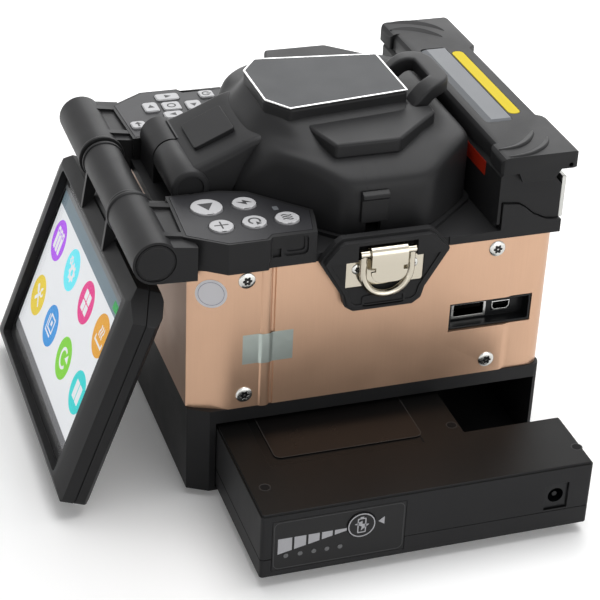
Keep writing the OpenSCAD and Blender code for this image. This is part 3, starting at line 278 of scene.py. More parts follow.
finishes = {
    # colour, roughness, shine off the plain surface, metal, grain (size and depth in mm), tone drift, coat;
    # brush: size, stretch and depth of its hairlines
    "base": dict(colour=(28, 28, 29), rough=0.5, shine=0.18, grain=(0.45, 0.012), drift=0.12),
    "foot": dict(colour=(26, 26, 26), rough=0.75, shine=0.3, grain=(0.6, 0.02), drift=0.1),
    "copper": dict(colour=(202, 165, 138), rough=0.38, metal=0.8, brush=(0.3, (1, 1, 0.02), 0.003)),
    "steel": dict(colour=(198, 198, 194), rough=0.24, metal=1.0, grain=(0.5, 0.003)),
    "black": dict(colour=(37, 37, 38), rough=0.44, shine=0.18, grain=(0.4, 0.012), drift=0.12),
    "inlay": dict(colour=(38, 38, 41), rough=0.42, shine=0.3, grain=(0.25, 0.006), drift=0.08),
    "key": dict(colour=(183, 183, 185), rough=0.42, grain=(0.3, 0.003), drift=0.03),
    "nickel": dict(colour=(189, 182, 167), rough=0.16, metal=1.0, grain=(0.8, 0.003), drift=0.06),
    "port": dict(colour=(16, 17, 19), rough=0.35, shine=0.25, grain=(0.4, 0.006), drift=0.1),
    # how far from the middle, in mm, the port shell keeps its own colour; nearer the middle, inside the port,
    # it is painted near black as shade
    "portShell": dict(colour=(190, 190, 188), rough=0.25, metal=1.0, grain=(0.5, 0.002),
                      mouth=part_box("usb_port")[1].x / mm - 0.7),
    "stage": dict(colour=(168, 170, 173), rough=0.34, metal=0.9, brush=(0.25, (0.03, 1, 1), 0.003)),
    "ceramic": dict(colour=(233, 228, 214), rough=0.3, grain=(0.3, 0.003), drift=0.04),
    "lens": dict(colour=(30, 30, 40), rough=0.12, grain=(0.6, 0.001), coat=0.6),
    "plate": dict(colour=(190, 190, 186), rough=0.35, metal=0.8, brush=(0.3, (0.02, 1, 1), 0.003),
                  drift=0.06),
    "lcd": dict(colour=(20, 21, 23), rough=0.3, grain=(0.5, 0.001), drift=0.02),
    "plaque": dict(colour=(40, 42, 45), rough=0.45, shine=0.26, grain=(0.2, 0.004), drift=0.06),
    "chrome": dict(colour=(238, 238, 238), rough=0.16, metal=0.9, grain=(0.8, 0.002), drift=0.03),
    "window": dict(colour=(104, 107, 111), rough=0.38, shine=0.35, grain=(0.5, 0.003)),
    "yellow": dict(colour=(210, 188, 30), rough=0.5, shine=0.12, grain=(0.3, 0.002), drift=0.03),
    "battery": dict(colour=(12, 12, 12), rough=0.4, shine=0.12, grain=(0.5, 0.012), drift=0.14),
    # painted light: a lighter copy of the battery's colour, for the sides of its case
    "batterySide": dict(colour=(46, 46, 47), rough=0.5, shine=0.12, grain=(0.5, 0.012), drift=0.14),
    # painted shade for the holes of the battery's screws
    "dark": dict(colour=(9, 9, 10), rough=0.6, shine=0.1, grain=(0.3, 0.002)),
    # painted highlight for the rim of the battery's recessed label spot
    "batteryEdge": dict(colour=(46, 45, 45), rough=0.45, shine=0.2, grain=(0.5, 0.002)),
    "labelBlack": dict(colour=(15, 14, 14), rough=0.3, shine=0.16, grain=(0.6, 0.001), drift=0.08),
    # painted highlight for the rim of the battery's recessed front panel
    "panelEdge": dict(colour=(74, 74, 75), rough=0.45, shine=0.2, grain=(0.5, 0.002)),
    "panel": dict(colour=(24, 24, 25), rough=0.45, shine=0.26, grain=(0.3, 0.006), drift=0.06),
    "print": dict(colour=(40, 40, 42), rough=0.5, grain=(0.3, 0.002)),
    "paleInk": dict(colour=(196, 196, 200), rough=0.5, grain=(0.3, 0.002)),
    "smokedDot": dict(colour=(92, 93, 95), rough=0.25, grain=(0.3, 0.001), coat=0.4),
    # painted shade for the floors of the screw sockets
    "darkScrew": dict(colour=(22, 22, 23), rough=0.35, metal=0.6, grain=(0.3, 0.003), drift=0.08),
    "sealWhite": dict(colour=(246, 245, 249), rough=0.4, grain=(0.6, 0.001), drift=0.04),
    "sealGrey": dict(colour=(168, 166, 182), rough=0.4, grain=(0.6, 0.001)),
    "foil": dict(colour=(186, 196, 190), rough=0.3, metal=0.7, grain=(1.6, 0.02), drift=0.5),
    "labelRed": dict(colour=(186, 44, 20), rough=0.4, grain=(0.5, 0.002), drift=0.08),
}
# parts of the lit picture: colour, tone drift and own light
pictureTones = {
    "screenHead": ((104, 106, 108), 0.05, 0.1), "screenStatus": ((104, 122, 132), 0.05, 0.1),
    "screenField": ((226, 228, 231), 0.02, 0.1), "screenFoot": ((104, 105, 108), 0.05, 0.1),
    "chargeGreen": ((30, 150, 70), 0.05, 0.2),
}
iconTones = {
    "violet": (170, 66, 232), "sky": (96, 226, 240), "rose": (222, 40, 132), "amber": (222, 156, 28),
    "lemon": (226, 198, 24), "blue": (30, 140, 214), "leaf": (120, 204, 30), "aqua": (24, 206, 206),
}
pictureTones.update({"icon_" + name: (tone, 0.02, 0.1) for name, tone in iconTones.items()})
for tint, (tone, drift, light) in pictureTones.items():
    finishes[tint] = dict(colour=tone, rough=0.5, shine=0.1, grain=(0.5, 0.001), drift=drift, light=light)


def makeFinish(name, spec):
    mat, tree, shader = newMaterial(name)

    def place(group, values):
        node = tree.nodes.new("ShaderNodeGroup")
        node.node_tree = bpy.data.node_groups[group]
        setSockets(tree, node, values)
        return node.outputs

    flat = colourOf(spec["colour"])
    colour = place("toneDrift", {"Colour": flat, "Spread": spec.get("drift", 0.05)})["Colour"]
    if "brush" in spec:
        size, stretch, depth = spec["brush"]
        relief = place("hairline", {"Size": size, "Stretch": stretch, "Colour": colour})
        colour = relief["Colour"]
    else:
        size, depth = spec["grain"]
        relief = place("mouldGrain", {"Size": size})
    # painted shade: the shell turns near black inside the port
    if "mouth" in spec:
        mask = place("mouthMask", {"Level": spec["mouth"]})["Mask"]
        colour = mixColours(tree, mask, (0.003, 0.003, 0.003, 1), colour)
    bump = addNode(tree, "Bump", {"Distance": depth * mm, "Height": relief["Height"]})
    setSockets(tree, shader, {
        "Base Color": colour, "Normal": bump.outputs["Normal"], "Metallic": spec.get("metal", 0.0),
        "Roughness": place("handling", {"Roughness": spec["rough"], "Spread": 0.07})["Roughness"],
        "Coat Weight": spec.get("coat", 0.0), "Specular IOR Level": spec.get("shine", 0.5)})
    if "light" in spec:
        setSockets(tree, shader, {"Emission Color": flat, "Emission Strength": spec["light"]})
    mat.diffuse_color = flat
    return mat


mats = {name: makeFinish(name, spec) for name, spec in finishes.items()}


def makeGlass():
    # a thin film with little reflection, so that the lit picture reads through it
    mat, tree, shader = newMaterial("glass")
    film = {"Base Color": white, "Transmission Weight": 1.0, "Roughness": 0.02, "IOR": 1.06}
    setSockets(tree, shader, film)
    return mat


mats["glass"] = makeGlass()
print("finishes:", len(mats))

softEdges = {
    # bevel in mm and its steps; nodes that aren't here keep their own mesh
    "base_tray": (1.1, 3), "metal_case": (0.5, 2), "top_frame": (0.7, 3), "hinge_caps": (0.4, 2),
    "strap_bracket_right": (0.8, 3), "strap_bracket_left": (0.8, 3), "strap_plates": (0.2, 2),
    "port_bezel": (0.25, 2), "usb_port": (0.12, 2), "mini_port": (0.12, 2), "stage_plate": (0.3, 2),
    "stage_tub": (0.4, 2), "heater_body": (0.6, 2), "heater_rear_plate": (0.3, 2), "monitor_frame": (1.1, 3),
    "monitor_back": (1.2, 3), "hood_plate": (1.3, 4), "side_clips": (0.4, 2), "heater_lid": (0.8, 3),
    "heater_strip": (0.15, 2), "battery_lower": (0.9, 3), "battery_upper": (1.0, 3), "clamp_bases": (0.3, 2),
    "clamp_lid_right": (0.4, 2), "clamp_lid_left": (0.4, 2), "electrode_holders": (0.3, 2),
    "plaque_rim": (0.2, 2),
}
for part in slotOf:
    if part.startswith(("key_", "pad_")):
        softEdges[part] = (0.3, 2)


def addPiece(name, mesh, body, slot, finish=None, crease=None):
    piece = bpy.data.objects.new(name, mesh)
    scene.collection.objects.link(piece)
    if crease:
        mesh.shade_smooth()
        mesh.set_sharp_from_angle(angle=math.radians(crease))
    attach(piece, body)
    mesh.materials.append(mats[finish or slot])
    return piece


def mergedCopy(node, name):
    # the node's loose triangles joined, and its flat faces made whole again
    bm = bmesh.new()
    bm.from_mesh(frame["nodes"][node].data)
    bmesh.ops.remove_doubles(bm, verts=bm.verts, dist=2e-6)
    bmesh.ops.dissolve_limit(bm, angle_limit=0.006, use_dissolve_boundaries=False,
                             verts=bm.verts, edges=bm.edges)
    bm.verts.index_update()
    points = [v.co[:] for v in bm.verts]
    faces = [[v.index for v in f.verts] for f in bm.faces]
    bm.free()
    mesh = bpy.data.meshes.new(name)
    mesh.from_pydata(points, [], faces)
    return mesh


def standIn(node, ending, finish=None):
    # a copy of a node that is shown in its place
    body = frame["nodes"][node]["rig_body"]
    piece = addPiece(node + ending, mergedCopy(node, node + ending), body, slotOf[node], finish, 32)
    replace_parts(piece, node)
    return piece


def breakEdges(piece, width, steps):
    edge = piece.modifiers.new("edges", "BEVEL")
    edge.width, edge.segments = width * mm, steps
    edge.limit_method, edge.angle_limit = "ANGLE", math.radians(28)
    edge.harden_normals = True
    edge.use_clamp_overlap = True
    edge.miter_outer = "MITER_ARC"


def softened(node, width, steps):
    piece = standIn(node, "_soft", ownFinish.get(node))
    breakEdges(piece, width, steps)
    return piece


ownFinish = {"usb_port": "portShell", "mini_port": "portShell"}
for node, cad in frame["nodes"].items():
    cad.data.materials.clear()
    cad.data.materials.append(mats[ownFinish.get(node, slotOf[node])])
made = {node: softened(node, *spec) for node, spec in softEdges.items()}
print("nodes with softened edges:", len(made))


def gridFaces(rows, cols, start=0, wrap=True):
    # a face between each pair of neighbouring rows and columns; wrap joins the last column to the first
    i, j = np.meshgrid(np.arange(rows - 1), np.arange(cols if wrap else cols - 1), indexing="ij")
    k = (j + 1) % cols
    return (start + np.stack([i * cols + j, (i + 1) * cols + j, (i + 1) * cols + k, i * cols + k], -1)
            .reshape(-1, 4)).tolist()


def tubeFaces(rows, cols):
    # a grid closed round its columns, with a face over each end
    ends = [(k * cols + np.arange(cols)).tolist() for k in (0, rows - 1)]
    return gridFaces(rows, cols) + ends


def closedMesh(name, points, faces, merge=None, bridge=False):
    # points in mm; open edges bridged and points nearer than merge joined if asked; faces turned outwards
    mesh = bpy.data.meshes.new(name)
    mesh.from_pydata((np.asarray(points, float).reshape(-1, 3) * mm).tolist(), [], faces)
    bm = bmesh.new()
    bm.from_mesh(mesh)
    if bridge:
        bmesh.ops.bridge_loops(bm, edges=[e for e in bm.edges if e.is_boundary])
    if merge:
        bmesh.ops.remove_doubles(bm, verts=bm.verts, dist=merge)
    bmesh.ops.recalc_face_normals(bm, faces=bm.faces)
    bm.to_mesh(mesh)
    bm.free()
    return mesh


def shiftPoints(piece, axis, chosen, amount):
    # moves by amount, along an axis (0, 1 or 2), the points whose place on it is chosen; all in mm
    co = np.empty(len(piece.data.vertices) * 3)
    piece.data.vertices.foreach_get("co", co)
    co[axis::3] += np.where(chosen(co[axis::3] / mm), amount * mm, 0)
    piece.data.vertices.foreach_set("co", co)
    piece.data.update()


def unit(rows):
    return rows / np.linalg.norm(rows, axis=1)[:, None]


def smoothLine(line, wide):
    # running mean over an odd number of places, the ends held
    ends = ((wide // 2, wide // 2), (0, 0))
    padded = np.pad(line, ends, "edge")
    columns = [np.convolve(column, np.ones(wide) / wide, "valid") for column in padded.T]
    return np.column_stack(columns)


def evenLine(points, n):
    # n places at even distances along a broken line
    p = np.asarray(points, float)
    d = np.concatenate([[0], np.cumsum(np.linalg.norm(np.diff(p, axis=0), axis=1))])
    s = np.linspace(0, d[-1], n)
    return np.column_stack([np.interp(s, d, column) for column in p.T])


hood = {
    # outward direction and distance from the origin in mm; a plane with an x stands on both sides
    "planes": [((1, 0, 0), 58.0), ((0.7071, -0.7071, 0), 49.5), ((0, -1, 0), 47.6), ((0, 1, 0), 45.0),
               ((0, -0.8393, 0.5436), 99.47), ((0.4532, 0, 0.8914), 137.18), ((0, 0, 1), 130.5),
               ((0.7493, 0.6622, 0), 58.03)],
    "round": 1.6, "wall": 2.4, "middle": (0.0, -2.0, 103.3), "around": 340, "up": 96, "bend": 0.42,
    "notchY": (-4.5, 1.5), "notchTop": 107.7, "reach": 110.0, "halvings": 36,
    # the roof swells up to the raised slab under the plaque
    "swell": [((0, 0, 1), 137.9), ((0.4965, 0.0595, 0.866), 129.9), ((0.498, -0.6757, 0.5436), 104.1),
              ((0, -0.8393, 0.5436), 102.6), ((0, 1, 0), 25.6), ((1, 0, 0), 40.0), ((0, -1, 0), 44.0),
              ((0.7071, -0.7071, 0), 46.0)],
}


def hoodReach(h, ways, inset):
    # a body is where the smooth maximum of the distances beyond its planes is below zero; the hood and its
    # swell are joined by a smooth minimum, and the surface is found along each way by halving
    bodies = []
    for planes in (h["planes"], h["swell"]):
        near = list(planes) + [((-n[0], n[1], n[2]), d) for n, d in planes if n[0]]
        bodies.append((np.array([n for n, _ in near], float), np.array([d for _, d in near]) - inset))
    start = np.array(h["middle"])
    low, high = np.zeros(ways.shape[:-1]), np.full(ways.shape[:-1], h["reach"])
    for _ in range(h["halvings"]):
        t = (low + high) / 2
        at = start + t[..., None] * ways
        depth = [np.log(np.exp(np.clip((at @ n.T - far) / h["round"], -60, 60)).sum(-1)) for n, far in bodies]
        outside = np.exp(-depth[0]) + np.exp(-depth[1]) < 1
        low, high = np.where(outside, low, t), np.where(outside, t, high)
    return start + low[..., None] * ways


def hoodSkin(h):
    # rows climb from the rim to the crown; each column starts at the rim, or at the notch's roof
    side, cy, cz = h["planes"][0][1], h["middle"][1], h["middle"][2]
    # two columns close together at each corner of the notch keep its sides upright
    steps = np.arctan2(np.repeat(h["notchY"], 2) - cy, side) + np.tile([-1e-4, 1e-4], 2)
    turn = np.concatenate([np.linspace(0, 2 * math.pi, h["around"], endpoint=False), steps, math.pi - steps])
    turn = np.sort(np.mod(turn, 2 * math.pi))
    y = cy + side * np.tan(turn) * np.sign(np.cos(turn))
    notched = (np.abs(np.cos(turn)) > 0.9) & (y > h["notchY"][0]) & (y < h["notchY"][1])
    v = np.linspace(0, 1, h["up"])[:-1]
    slope = np.where(notched, (h["notchTop"] - cz) / side, 0)[None, :] + (v / (1 - v) * h["bend"])[:, None]
    flat = 1 / np.sqrt(1 + slope ** 2)
    ways = np.stack([flat * np.cos(turn), flat * np.sin(turn), flat * slope], -1)
    rows, cols = slope.shape
    crown = np.array([[[0.0, 0.0, 1.0]]])
    points, faces = [], []
    for k, inset in enumerate((0, h["wall"])):
        start = k * (rows * cols + 1)
        points += [hoodReach(h, ways, inset).reshape(-1, 3), hoodReach(h, crown, inset).reshape(-1, 3)]
        faces += gridFaces(rows, cols, start)
        i = start + (rows - 1) * cols + np.arange(cols)
        faces += np.column_stack([i, np.roll(i, -1), np.full(cols, start + rows * cols)]).tolist()
    i, other = np.arange(cols), rows * cols + 1
    j = (i + 1) % cols
    faces += np.column_stack([i, j, other + j, other + i]).tolist()
    skin = closedMesh("hood_skin", np.vstack(points), faces)
    piece = addPiece("hood_skin", skin, "hood", "black", None, 40)
    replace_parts(piece, "hood_shell")


hoodSkin(hood)

arm = {
    # upper and lower line of the arm in Y and Z, from inside the barrel up to the roof
    "top": [(-56.5, 112.5), (-57.2, 116.4), (-59.8, 118.8), (-62.2, 119.5), (-60.6, 120.1), (-57.5, 121.2),
            (-52.5, 123.2), (-47, 125.5), (-42, 127.8), (-38, 129.5), (-34.5, 130.3), (-30, 130.45),
            (-25, 130.3)],
    "low": [(-56.5, 112.5), (-57.5, 109.6), (-58.8, 107.9), (-58.4, 107.2), (-57, 106.9), (-54.5, 106.8),
            (-51, 106.6), (-47, 106.6), (-46.2, 110.6), (-42, 117.2), (-38, 123.2), (-33.4, 129.0),
            (-27, 129.0)],
    "half": 23.0, "round": 3.0, "axis": (-63.5, 112.5), "clear": 8.05, "gapX": -3.9, "steps": 90,
    # deeper than the arm is thick anywhere
    "deep": 99.0,
}


def armLine(points, steps):
    # as many places between one pair of points as between any other, then smoothed
    p = np.asarray(points, float)
    s = np.linspace(0, len(p) - 1, steps)
    return smoothLine(np.column_stack([np.interp(s, np.arange(len(p)), column) for column in p.T]), 9)


def hoodArm(a):
    up, down = armLine(a["top"], a["steps"]), armLine(a["low"], a["steps"])
    thick = np.linalg.norm(down - up, axis=1)
    way = (down - up) / np.maximum(thick, 1e-6)[:, None]
    # the loop round the arm: across the top with rounded corners, down the flanks and back under
    q = np.radians(np.linspace(90, 0, 8))
    corner = np.column_stack([a["half"] - a["round"] + a["round"] * np.cos(q), a["round"] * (1 - np.sin(q))])
    across = np.sort([a["gapX"] - 0.02, a["gapX"] + 0.02, -14, 6, 14])
    roof = np.column_stack([across, np.zeros(len(across))])
    under = np.column_stack([np.concatenate([[a["half"]], across[::-1], [-a["half"]]]),
                             np.full(len(across) + 2, a["deep"])])
    ring = np.vstack([roof, corner, under, (corner * [-1, 1])[::-1]])
    sunk = np.minimum(ring[None, :, 1], thick[:, None])
    yz = up[:, None, :] + way[:, None, :] * sunk[..., None]
    # the left part keeps clear of the fixed knuckle: points too near the hinge axis are pushed out
    off = yz - np.array(a["axis"])
    far = np.maximum(np.linalg.norm(off, axis=2), 1e-6)
    push = np.where(ring[None, :, 0] < a["gapX"], np.maximum(a["clear"] / far, 1), 1)
    yz = np.array(a["axis"]) + off * push[..., None]
    points = np.dstack([np.broadcast_to(ring[None, :, 0], sunk.shape), yz])
    addPiece("hood_arm", closedMesh("hood_arm", points, tubeFaces(*sunk.shape)), "hood", "black", None, 38)


hoodArm(arm)


def lathe(name, profile, place, axis, steps, crease, body, slot, finish=None):
    # the profile (radius, height) turned once about the axis
    axis = Vector(axis).normalized()
    side = axis.orthogonal().normalized()
    a = np.arange(steps) * 2 * math.pi / steps
    p = np.asarray(profile, float)
    ring = np.cos(a)[:, None] * np.array(side) + np.sin(a)[:, None] * np.array(axis.cross(side))
    points = p[:, 0][:, None, None] * ring + p[:, 1][:, None, None] * np.array(axis) + np.asarray(place)
    return addPiece(name, closedMesh(name, points, tubeFaces(len(p), steps)), body, slot, finish, crease)


hinge = np.array([j["pos_m"] for j in frame["joints"] if j["name"] == "monitor_tilt"][0]) / mm
sides = ((1, "right"), (-1, "left"))
hingeLips = {
    # raised lips beside the seams of the monitor's hinge: body, inner and outer radius, span from the middle
    "fixed": ("main_body", 8.6, 9.25, 23.3, 25.4), "moving": ("monitor", 7.8, 8.4, 20.4, 22.5),
}
for side, tag in sides:
    for kind, (body, r0, r1, x0, x1) in hingeLips.items():
        profile = [(r0, x0), (r1 - 0.15, x0 + 0.05), (r1, x0 + 0.3), (r1, x1 - 0.8),
                   (r1 - 0.2, x1 - 0.3), (r0, x1)]
        lathe(f"hinge_lip_{kind}_{tag}", profile, (0, *hinge[1:]), (side, 0, 0), 72, 50, body, "black")
hoodBarrel = [(6.6, -3.9), (7.2, -3.6), (7.5, -3.0), (7.5, 24.0), (7.3, 24.7), (6.8, 25.0), (5.3, 25.0),
              (5.2, 24.8), (5.2, 24.05)]
lathe("hood_barrel", hoodBarrel, (0, *arm["axis"]), (1, 0, 0), 64, 50, "hood", "black")

grip = {
    # half of the handle's middle line: across, along and up; the other half is its mirror image
    "line": [(15.6, 24.0, 128.2), (15.4, 27.6, 131.4), (14.9, 31.0, 135.0), (14.0, 34.4, 138.4),
             (12.9, 37.6, 139.4), (10.2, 41.0, 139.5), (6.6, 41.6, 139.5), (0.0, 41.6, 139.5)],
    "wide": 4.0, "high": 3.0, "steps": 120, "around": 40, "square": 6,
}


def gripLoop(g):
    # a rounded box section carried along the middle line: |across|^n + |up|^n = 1, with n in "square"
    half = np.array(g["line"])
    full = np.vstack([half, (half * [-1, 1, 1])[-2::-1]])
    line = smoothLine(evenLine(full, g["steps"]), 7)
    way = unit(np.gradient(line, axis=0))
    side = unit(np.cross(way, [0, 0, 1.0]))
    up = np.cross(side, way)
    a = np.arange(g["around"]) * 2 * math.pi / g["around"]
    u, v = (np.sign(f) * np.abs(f) ** (2 / g["square"]) for f in (np.cos(a), np.sin(a)))
    points = line[:, None] + side[:, None] * (u * g["wide"])[:, None] + up[:, None] * (v * g["high"])[:, None]
    grid = closedMesh("grip_loop", points, tubeFaces(g["steps"], g["around"]))
    addPiece("grip_loop", grid, "hood", "black", None, 60)


gripLoop(grip)

# the step plates reach down into the rounded roof
shiftPoints(made["hood_plate"], 2, lambda z: z < 130.55, -1.6)
for part in ("left_inlay", "right_inlay"):
    # thin plates that lie in their pockets a hair above the frame
    shiftPoints(standIn(part, "_plate"), 2, lambda z: z > 0, 0.08)
print("the hood is smooth")


def ringPoints(r, n=40, at=(0, 0)):
    # n places round a circle
    a = np.arange(n) * 2 * math.pi / n
    return np.column_stack([at[0] + r * np.cos(a), at[1] + r * np.sin(a)])


def arcPoints(r, a0, a1, n=20, at=(0, 0)):
    # n places on an arc between two angles in degrees
    a = np.radians(np.linspace(a0, a1, n))
    return np.column_stack([at[0] + r * np.cos(a), at[1] + r * np.sin(a)])


def boxPoints(x0, y0, x1, y1, r=0.0, n=5):
    # a rectangle whose corners are quarter circles of radius r
    if r <= 0:
        return np.array([[x0, y0], [x1, y0], [x1, y1], [x0, y1]], float)
    corners = [(x1 - r, y0 + r, -90), (x1 - r, y1 - r, 0), (x0 + r, y1 - r, 90), (x0 + r, y0 + r, 180)]
    return np.vstack([arcPoints(r, a, a + 90, n, (cx, cy)) for cx, cy, a in corners])


def strokePoints(path, width):
    # a line given a width: the path pushed half the width to its left, then back along its right
    p = np.asarray(path, float)
    along = unit(np.gradient(p, axis=0))
    side = np.column_stack([-along[:, 1], along[:, 0]]) * width / 2
    return np.vstack([p - side, (p + side)[::-1]])


def signMesh(name, shapes, place, u, v, low, high):
    # closed outlines drawn out a little along their normal; a pair (outer, inner) leaves a hole
    u, v = Vector(u).normalized(), Vector(v).normalized()
    axes = np.array([u, v, u.cross(v)])
    points, faces, start = [], [], 0
    for shape in shapes:
        loops = list(shape) if isinstance(shape, tuple) else [shape]
        n = len(loops[0])
        for loop in loops:
            flat = np.asarray(loop, float)
            turn = np.sum(flat[:, 0] * np.roll(flat[:, 1], -1) - flat[:, 1] * np.roll(flat[:, 0], -1))
            flat = flat if turn > 0 else flat[::-1]
            for level in (low, high):
                points.append(np.column_stack([flat, np.full(n, level)]))
        i = np.arange(n)
        j = (i + 1) % n
        if len(loops) == 1:
            faces += [(start + i[::-1]).tolist(), (start + n + i).tolist()]
            faces += (start + np.column_stack([i, j, n + j, n + i])).tolist()
        else:
            o0, o1, k0, k1 = (start + q * n for q in range(4))
            faces += np.column_stack([o0 + i, o0 + j, o1 + j, o1 + i]).tolist()
            faces += np.column_stack([k0 + j, k0 + i, k1 + i, k1 + j]).tolist()
            faces += np.column_stack([o1 + i, o1 + j, k1 + j, k1 + i]).tolist()
            faces += np.column_stack([o0 + j, o0 + i, k0 + i, k0 + j]).tolist()
        start += 2 * n * len(loops)
    world = (np.vstack(points) @ axes + np.asarray(place, float)) * mm
    mesh = bpy.data.meshes.new(name)
    mesh.from_pydata(world.tolist(), [], faces)
    return mesh


def addSign(name, shapes, place, u, v, body, slot, finish, low=-0.05, high=0.06):
    return addPiece(name, signMesh(name, shapes, place, u, v, low, high), body, slot, finish)


def middle(node):
    lo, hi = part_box(node)
    return (lo + hi) / 2 / mm


def top(node):
    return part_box(node)[1].z / mm


# the two directions of a sign that lies on a top, stands on the front or stands on a side
lying, onFront = ((1, 0, 0), (0, 1, 0)), ((1, 0, 0), (0, 0, 1))
onSide = {side: ((0, side, 0), (0, 0, 1)) for side, _ in sides}


# plain signs, drawn for a key 10 mm across
def playSign():
    return [np.array([[-2.25, -3.0], [3.25, 0], [-2.25, 3.0]])]


def backSign():
    upper = np.array([[-0.4, 1.5], [-0.4, 0.4], [1.9, 0.4]])
    return [np.vstack([[[-2, 0]], upper, (upper * [1, -1])[::-1]])]


def boltSign():
    return [np.array([[0.6, 3], [-2, -0.4], [-0.2, -0.4], [-0.8, -3], [2, 0.7], [0.2, 0.7]])]


def crossSign():
    return [boxPoints(-2.7, -0.3, 2.7, 0.3), boxPoints(-0.3, -2.7, 0.3, -0.3), boxPoints(-0.3, 0.3, 0.3, 2.7)]


def turnSign(r=2.1, w=0.75):
    head = np.array([[r * 0.95 + 1.1, 0.2], [r * 0.45 - 0.3, 0.35], [r * 1.05, 2.2]])
    return [strokePoints(arcPoints(r, 60, 330, 24), w), head]


def heatSign(tall=3.8, gap=1.5):
    # three upright waves
    t = np.linspace(-1, 1, 16)
    return [strokePoints(np.column_stack([0.45 * np.sin(t * 3.1) + k * gap, t * tall / 2]), 0.6)
            for k in (-1, 0, 1)]


def arrowSign(turn, r=1.7):
    a = np.radians(np.array([0, 125, 235]) + turn)
    return [np.column_stack([r * np.cos(a), r * np.sin(a)])]


def powerSign(r=1.55, w=0.5):
    return [strokePoints(arcPoints(r, 125, 415, 24), w), boxPoints(-w / 2, 0.2, w / 2, 2.1)]


keySigns = {
    "key_set": playSign(), "key_cross": crossSign(), "key_arc": boltSign(), "key_reset": turnSign(),
    "key_heat": heatSign(), "pad_up": arrowSign(90), "pad_down": arrowSign(-90), "pad_left": arrowSign(180),
    "pad_right": arrowSign(0), "pad_ok": [(ringPoints(1.9), ringPoints(1.3))],
    "key_menu": [boxPoints(-1.7, y - 0.25, 1.7, y + 0.25) for y in (-1.1, 0, 1.1)],
    "key_back": backSign(), "key_power": powerSign(),
}
for node, shapes in keySigns.items():
    cx, cy, _ = middle(node)
    body = frame["nodes"][node]["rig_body"]
    addSign(node + "_sign", shapes, (cx, cy, top(node)), *lying, body, "key", "print")
print("key signs:", len(keySigns))

glassLo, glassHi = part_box("cover_glass")
# the glass leans as its box does, less what its thickness adds along Y and Z
glassAdds = (0.93, 0.35)
lean = math.atan2((glassHi.y - glassLo.y) / mm - glassAdds[0], (glassHi.z - glassLo.z) / mm - glassAdds[1])
panelDown = np.array([0, -math.sin(lean), -math.cos(lean)])
panelOut = np.array([0, -math.cos(lean), math.sin(lean)])
picture = {
    # heights down from the hinge axis, in mm
    "head": (20.9, 28.5), "status": (28.5, 34.5), "field": (34.5, 91.0), "foot": (91.0, 99.6),
    "halfWidth": 50.8, "headHalf": 53.2, "glassBack": -1.18, "icon": 8.7, "signGrowth": 1.25,
    "charge": (43.0, 31.3),
    "rows": [(46.0, ["violet", "sky", "rose", "amber"], (-38.0, -12.7, 13.6, 39.0)),
             (72.6, ["lemon", "blue", "leaf", "aqua"], (-38.0, -12.7, 12.7, 38.0))],
}


def onPanel(x, down, out):
    return hinge + np.array([x, 0, 0]) + panelDown * down + panelOut * out


def fibreBars():
    return [(boxPoints(-1.1 + d, -3.9, 1.1 + d, 3.9, 0.5, 3), boxPoints(-0.5 + d, 1.8, 0.5 + d, 2.8, 0.2, 3))
            for d in (-2.7, 0, 2.7)]


def gearSign(r=2.5, at=(0.8, -0.6), teeth=8):
    # four points to a tooth, two out and two in
    k = np.arange(teeth * 4)
    a = k * math.pi / (teeth * 2) + 0.1
    out = np.where(k % 4 < 2, r * 1.32, r)
    outer = np.column_stack([at[0] + out * np.cos(a), at[1] + out * np.sin(a)])
    return (outer, ringPoints(r * 0.45, teeth * 4, at))


def paneSign(cols, rows, w, h, gap=0.5):
    x0, y0 = -(cols * w + (cols - 1) * gap) / 2, -(rows * h + (rows - 1) * gap) / 2
    corners = [(x0 + c * (w + gap), y0 + r * (h + gap)) for c in range(cols) for r in range(rows)]
    return [boxPoints(x, y, x + w, y + h, 0.3, 3) for x, y in corners]


def turned(points, a):
    return np.asarray(points) @ np.array([[math.cos(a), math.sin(a)], [-math.sin(a), math.cos(a)]])


def toolSign(a=0.8):
    driver = [boxPoints(-0.5, -4.2, 0.5, 1, 0.2, 3), boxPoints(-0.95, 1, 0.95, 4.2, 0.6, 3)]
    jaw = strokePoints(arcPoints(1.25, 130, 410, 16, (0, 3.2)), 0.8)
    spanner = [boxPoints(-0.6, -3.4, 0.6, 2.2, 0.3, 3), jaw]
    return [turned(shape, a) for shape in driver] + [turned(shape, -a) for shape in spanner]


def sheetSign():
    return [(boxPoints(-2.6, -1.9, 3.0, 3.6, 0.3, 3), boxPoints(-1.9, -1.2, 2.3, 2.9, 0.2, 3)),
            boxPoints(-0.6, 0.2, 1.0, 1.8), boxPoints(-3.4, -3.4, 2.2, -2.7),
            boxPoints(-3.9, -3.4, -3.3, 2.6)]


def traySign():
    waves = [wave * 0.95 + [0, 1.2] for wave in heatSign(4)]
    tray = [boxPoints(-3.8, -3.2, 3.8, -2.4), boxPoints(-3.8, -2.4, -3.1, -1.2),
            boxPoints(3.1, -2.4, 3.8, -1.2)]
    return waves + tray


iconSigns = {
    "violet": fibreBars(), "sky": [gearSign(), gearSign(1.3, (-2.9, 2.0), 6)],
    "rose": paneSign(2, 2, 2.9, 3.3), "amber": traySign(), "lemon": toolSign(), "blue": sheetSign(),
    "leaf": [shape * 1.35 for shape in turnSign(2.3, 0.8)], "aqua": paneSign(2, 1, 3.1, 6.2),
}


def grown(shape, k):
    if isinstance(shape, tuple):
        return tuple(np.asarray(loop) * k for loop in shape)
    return np.asarray(shape) * k


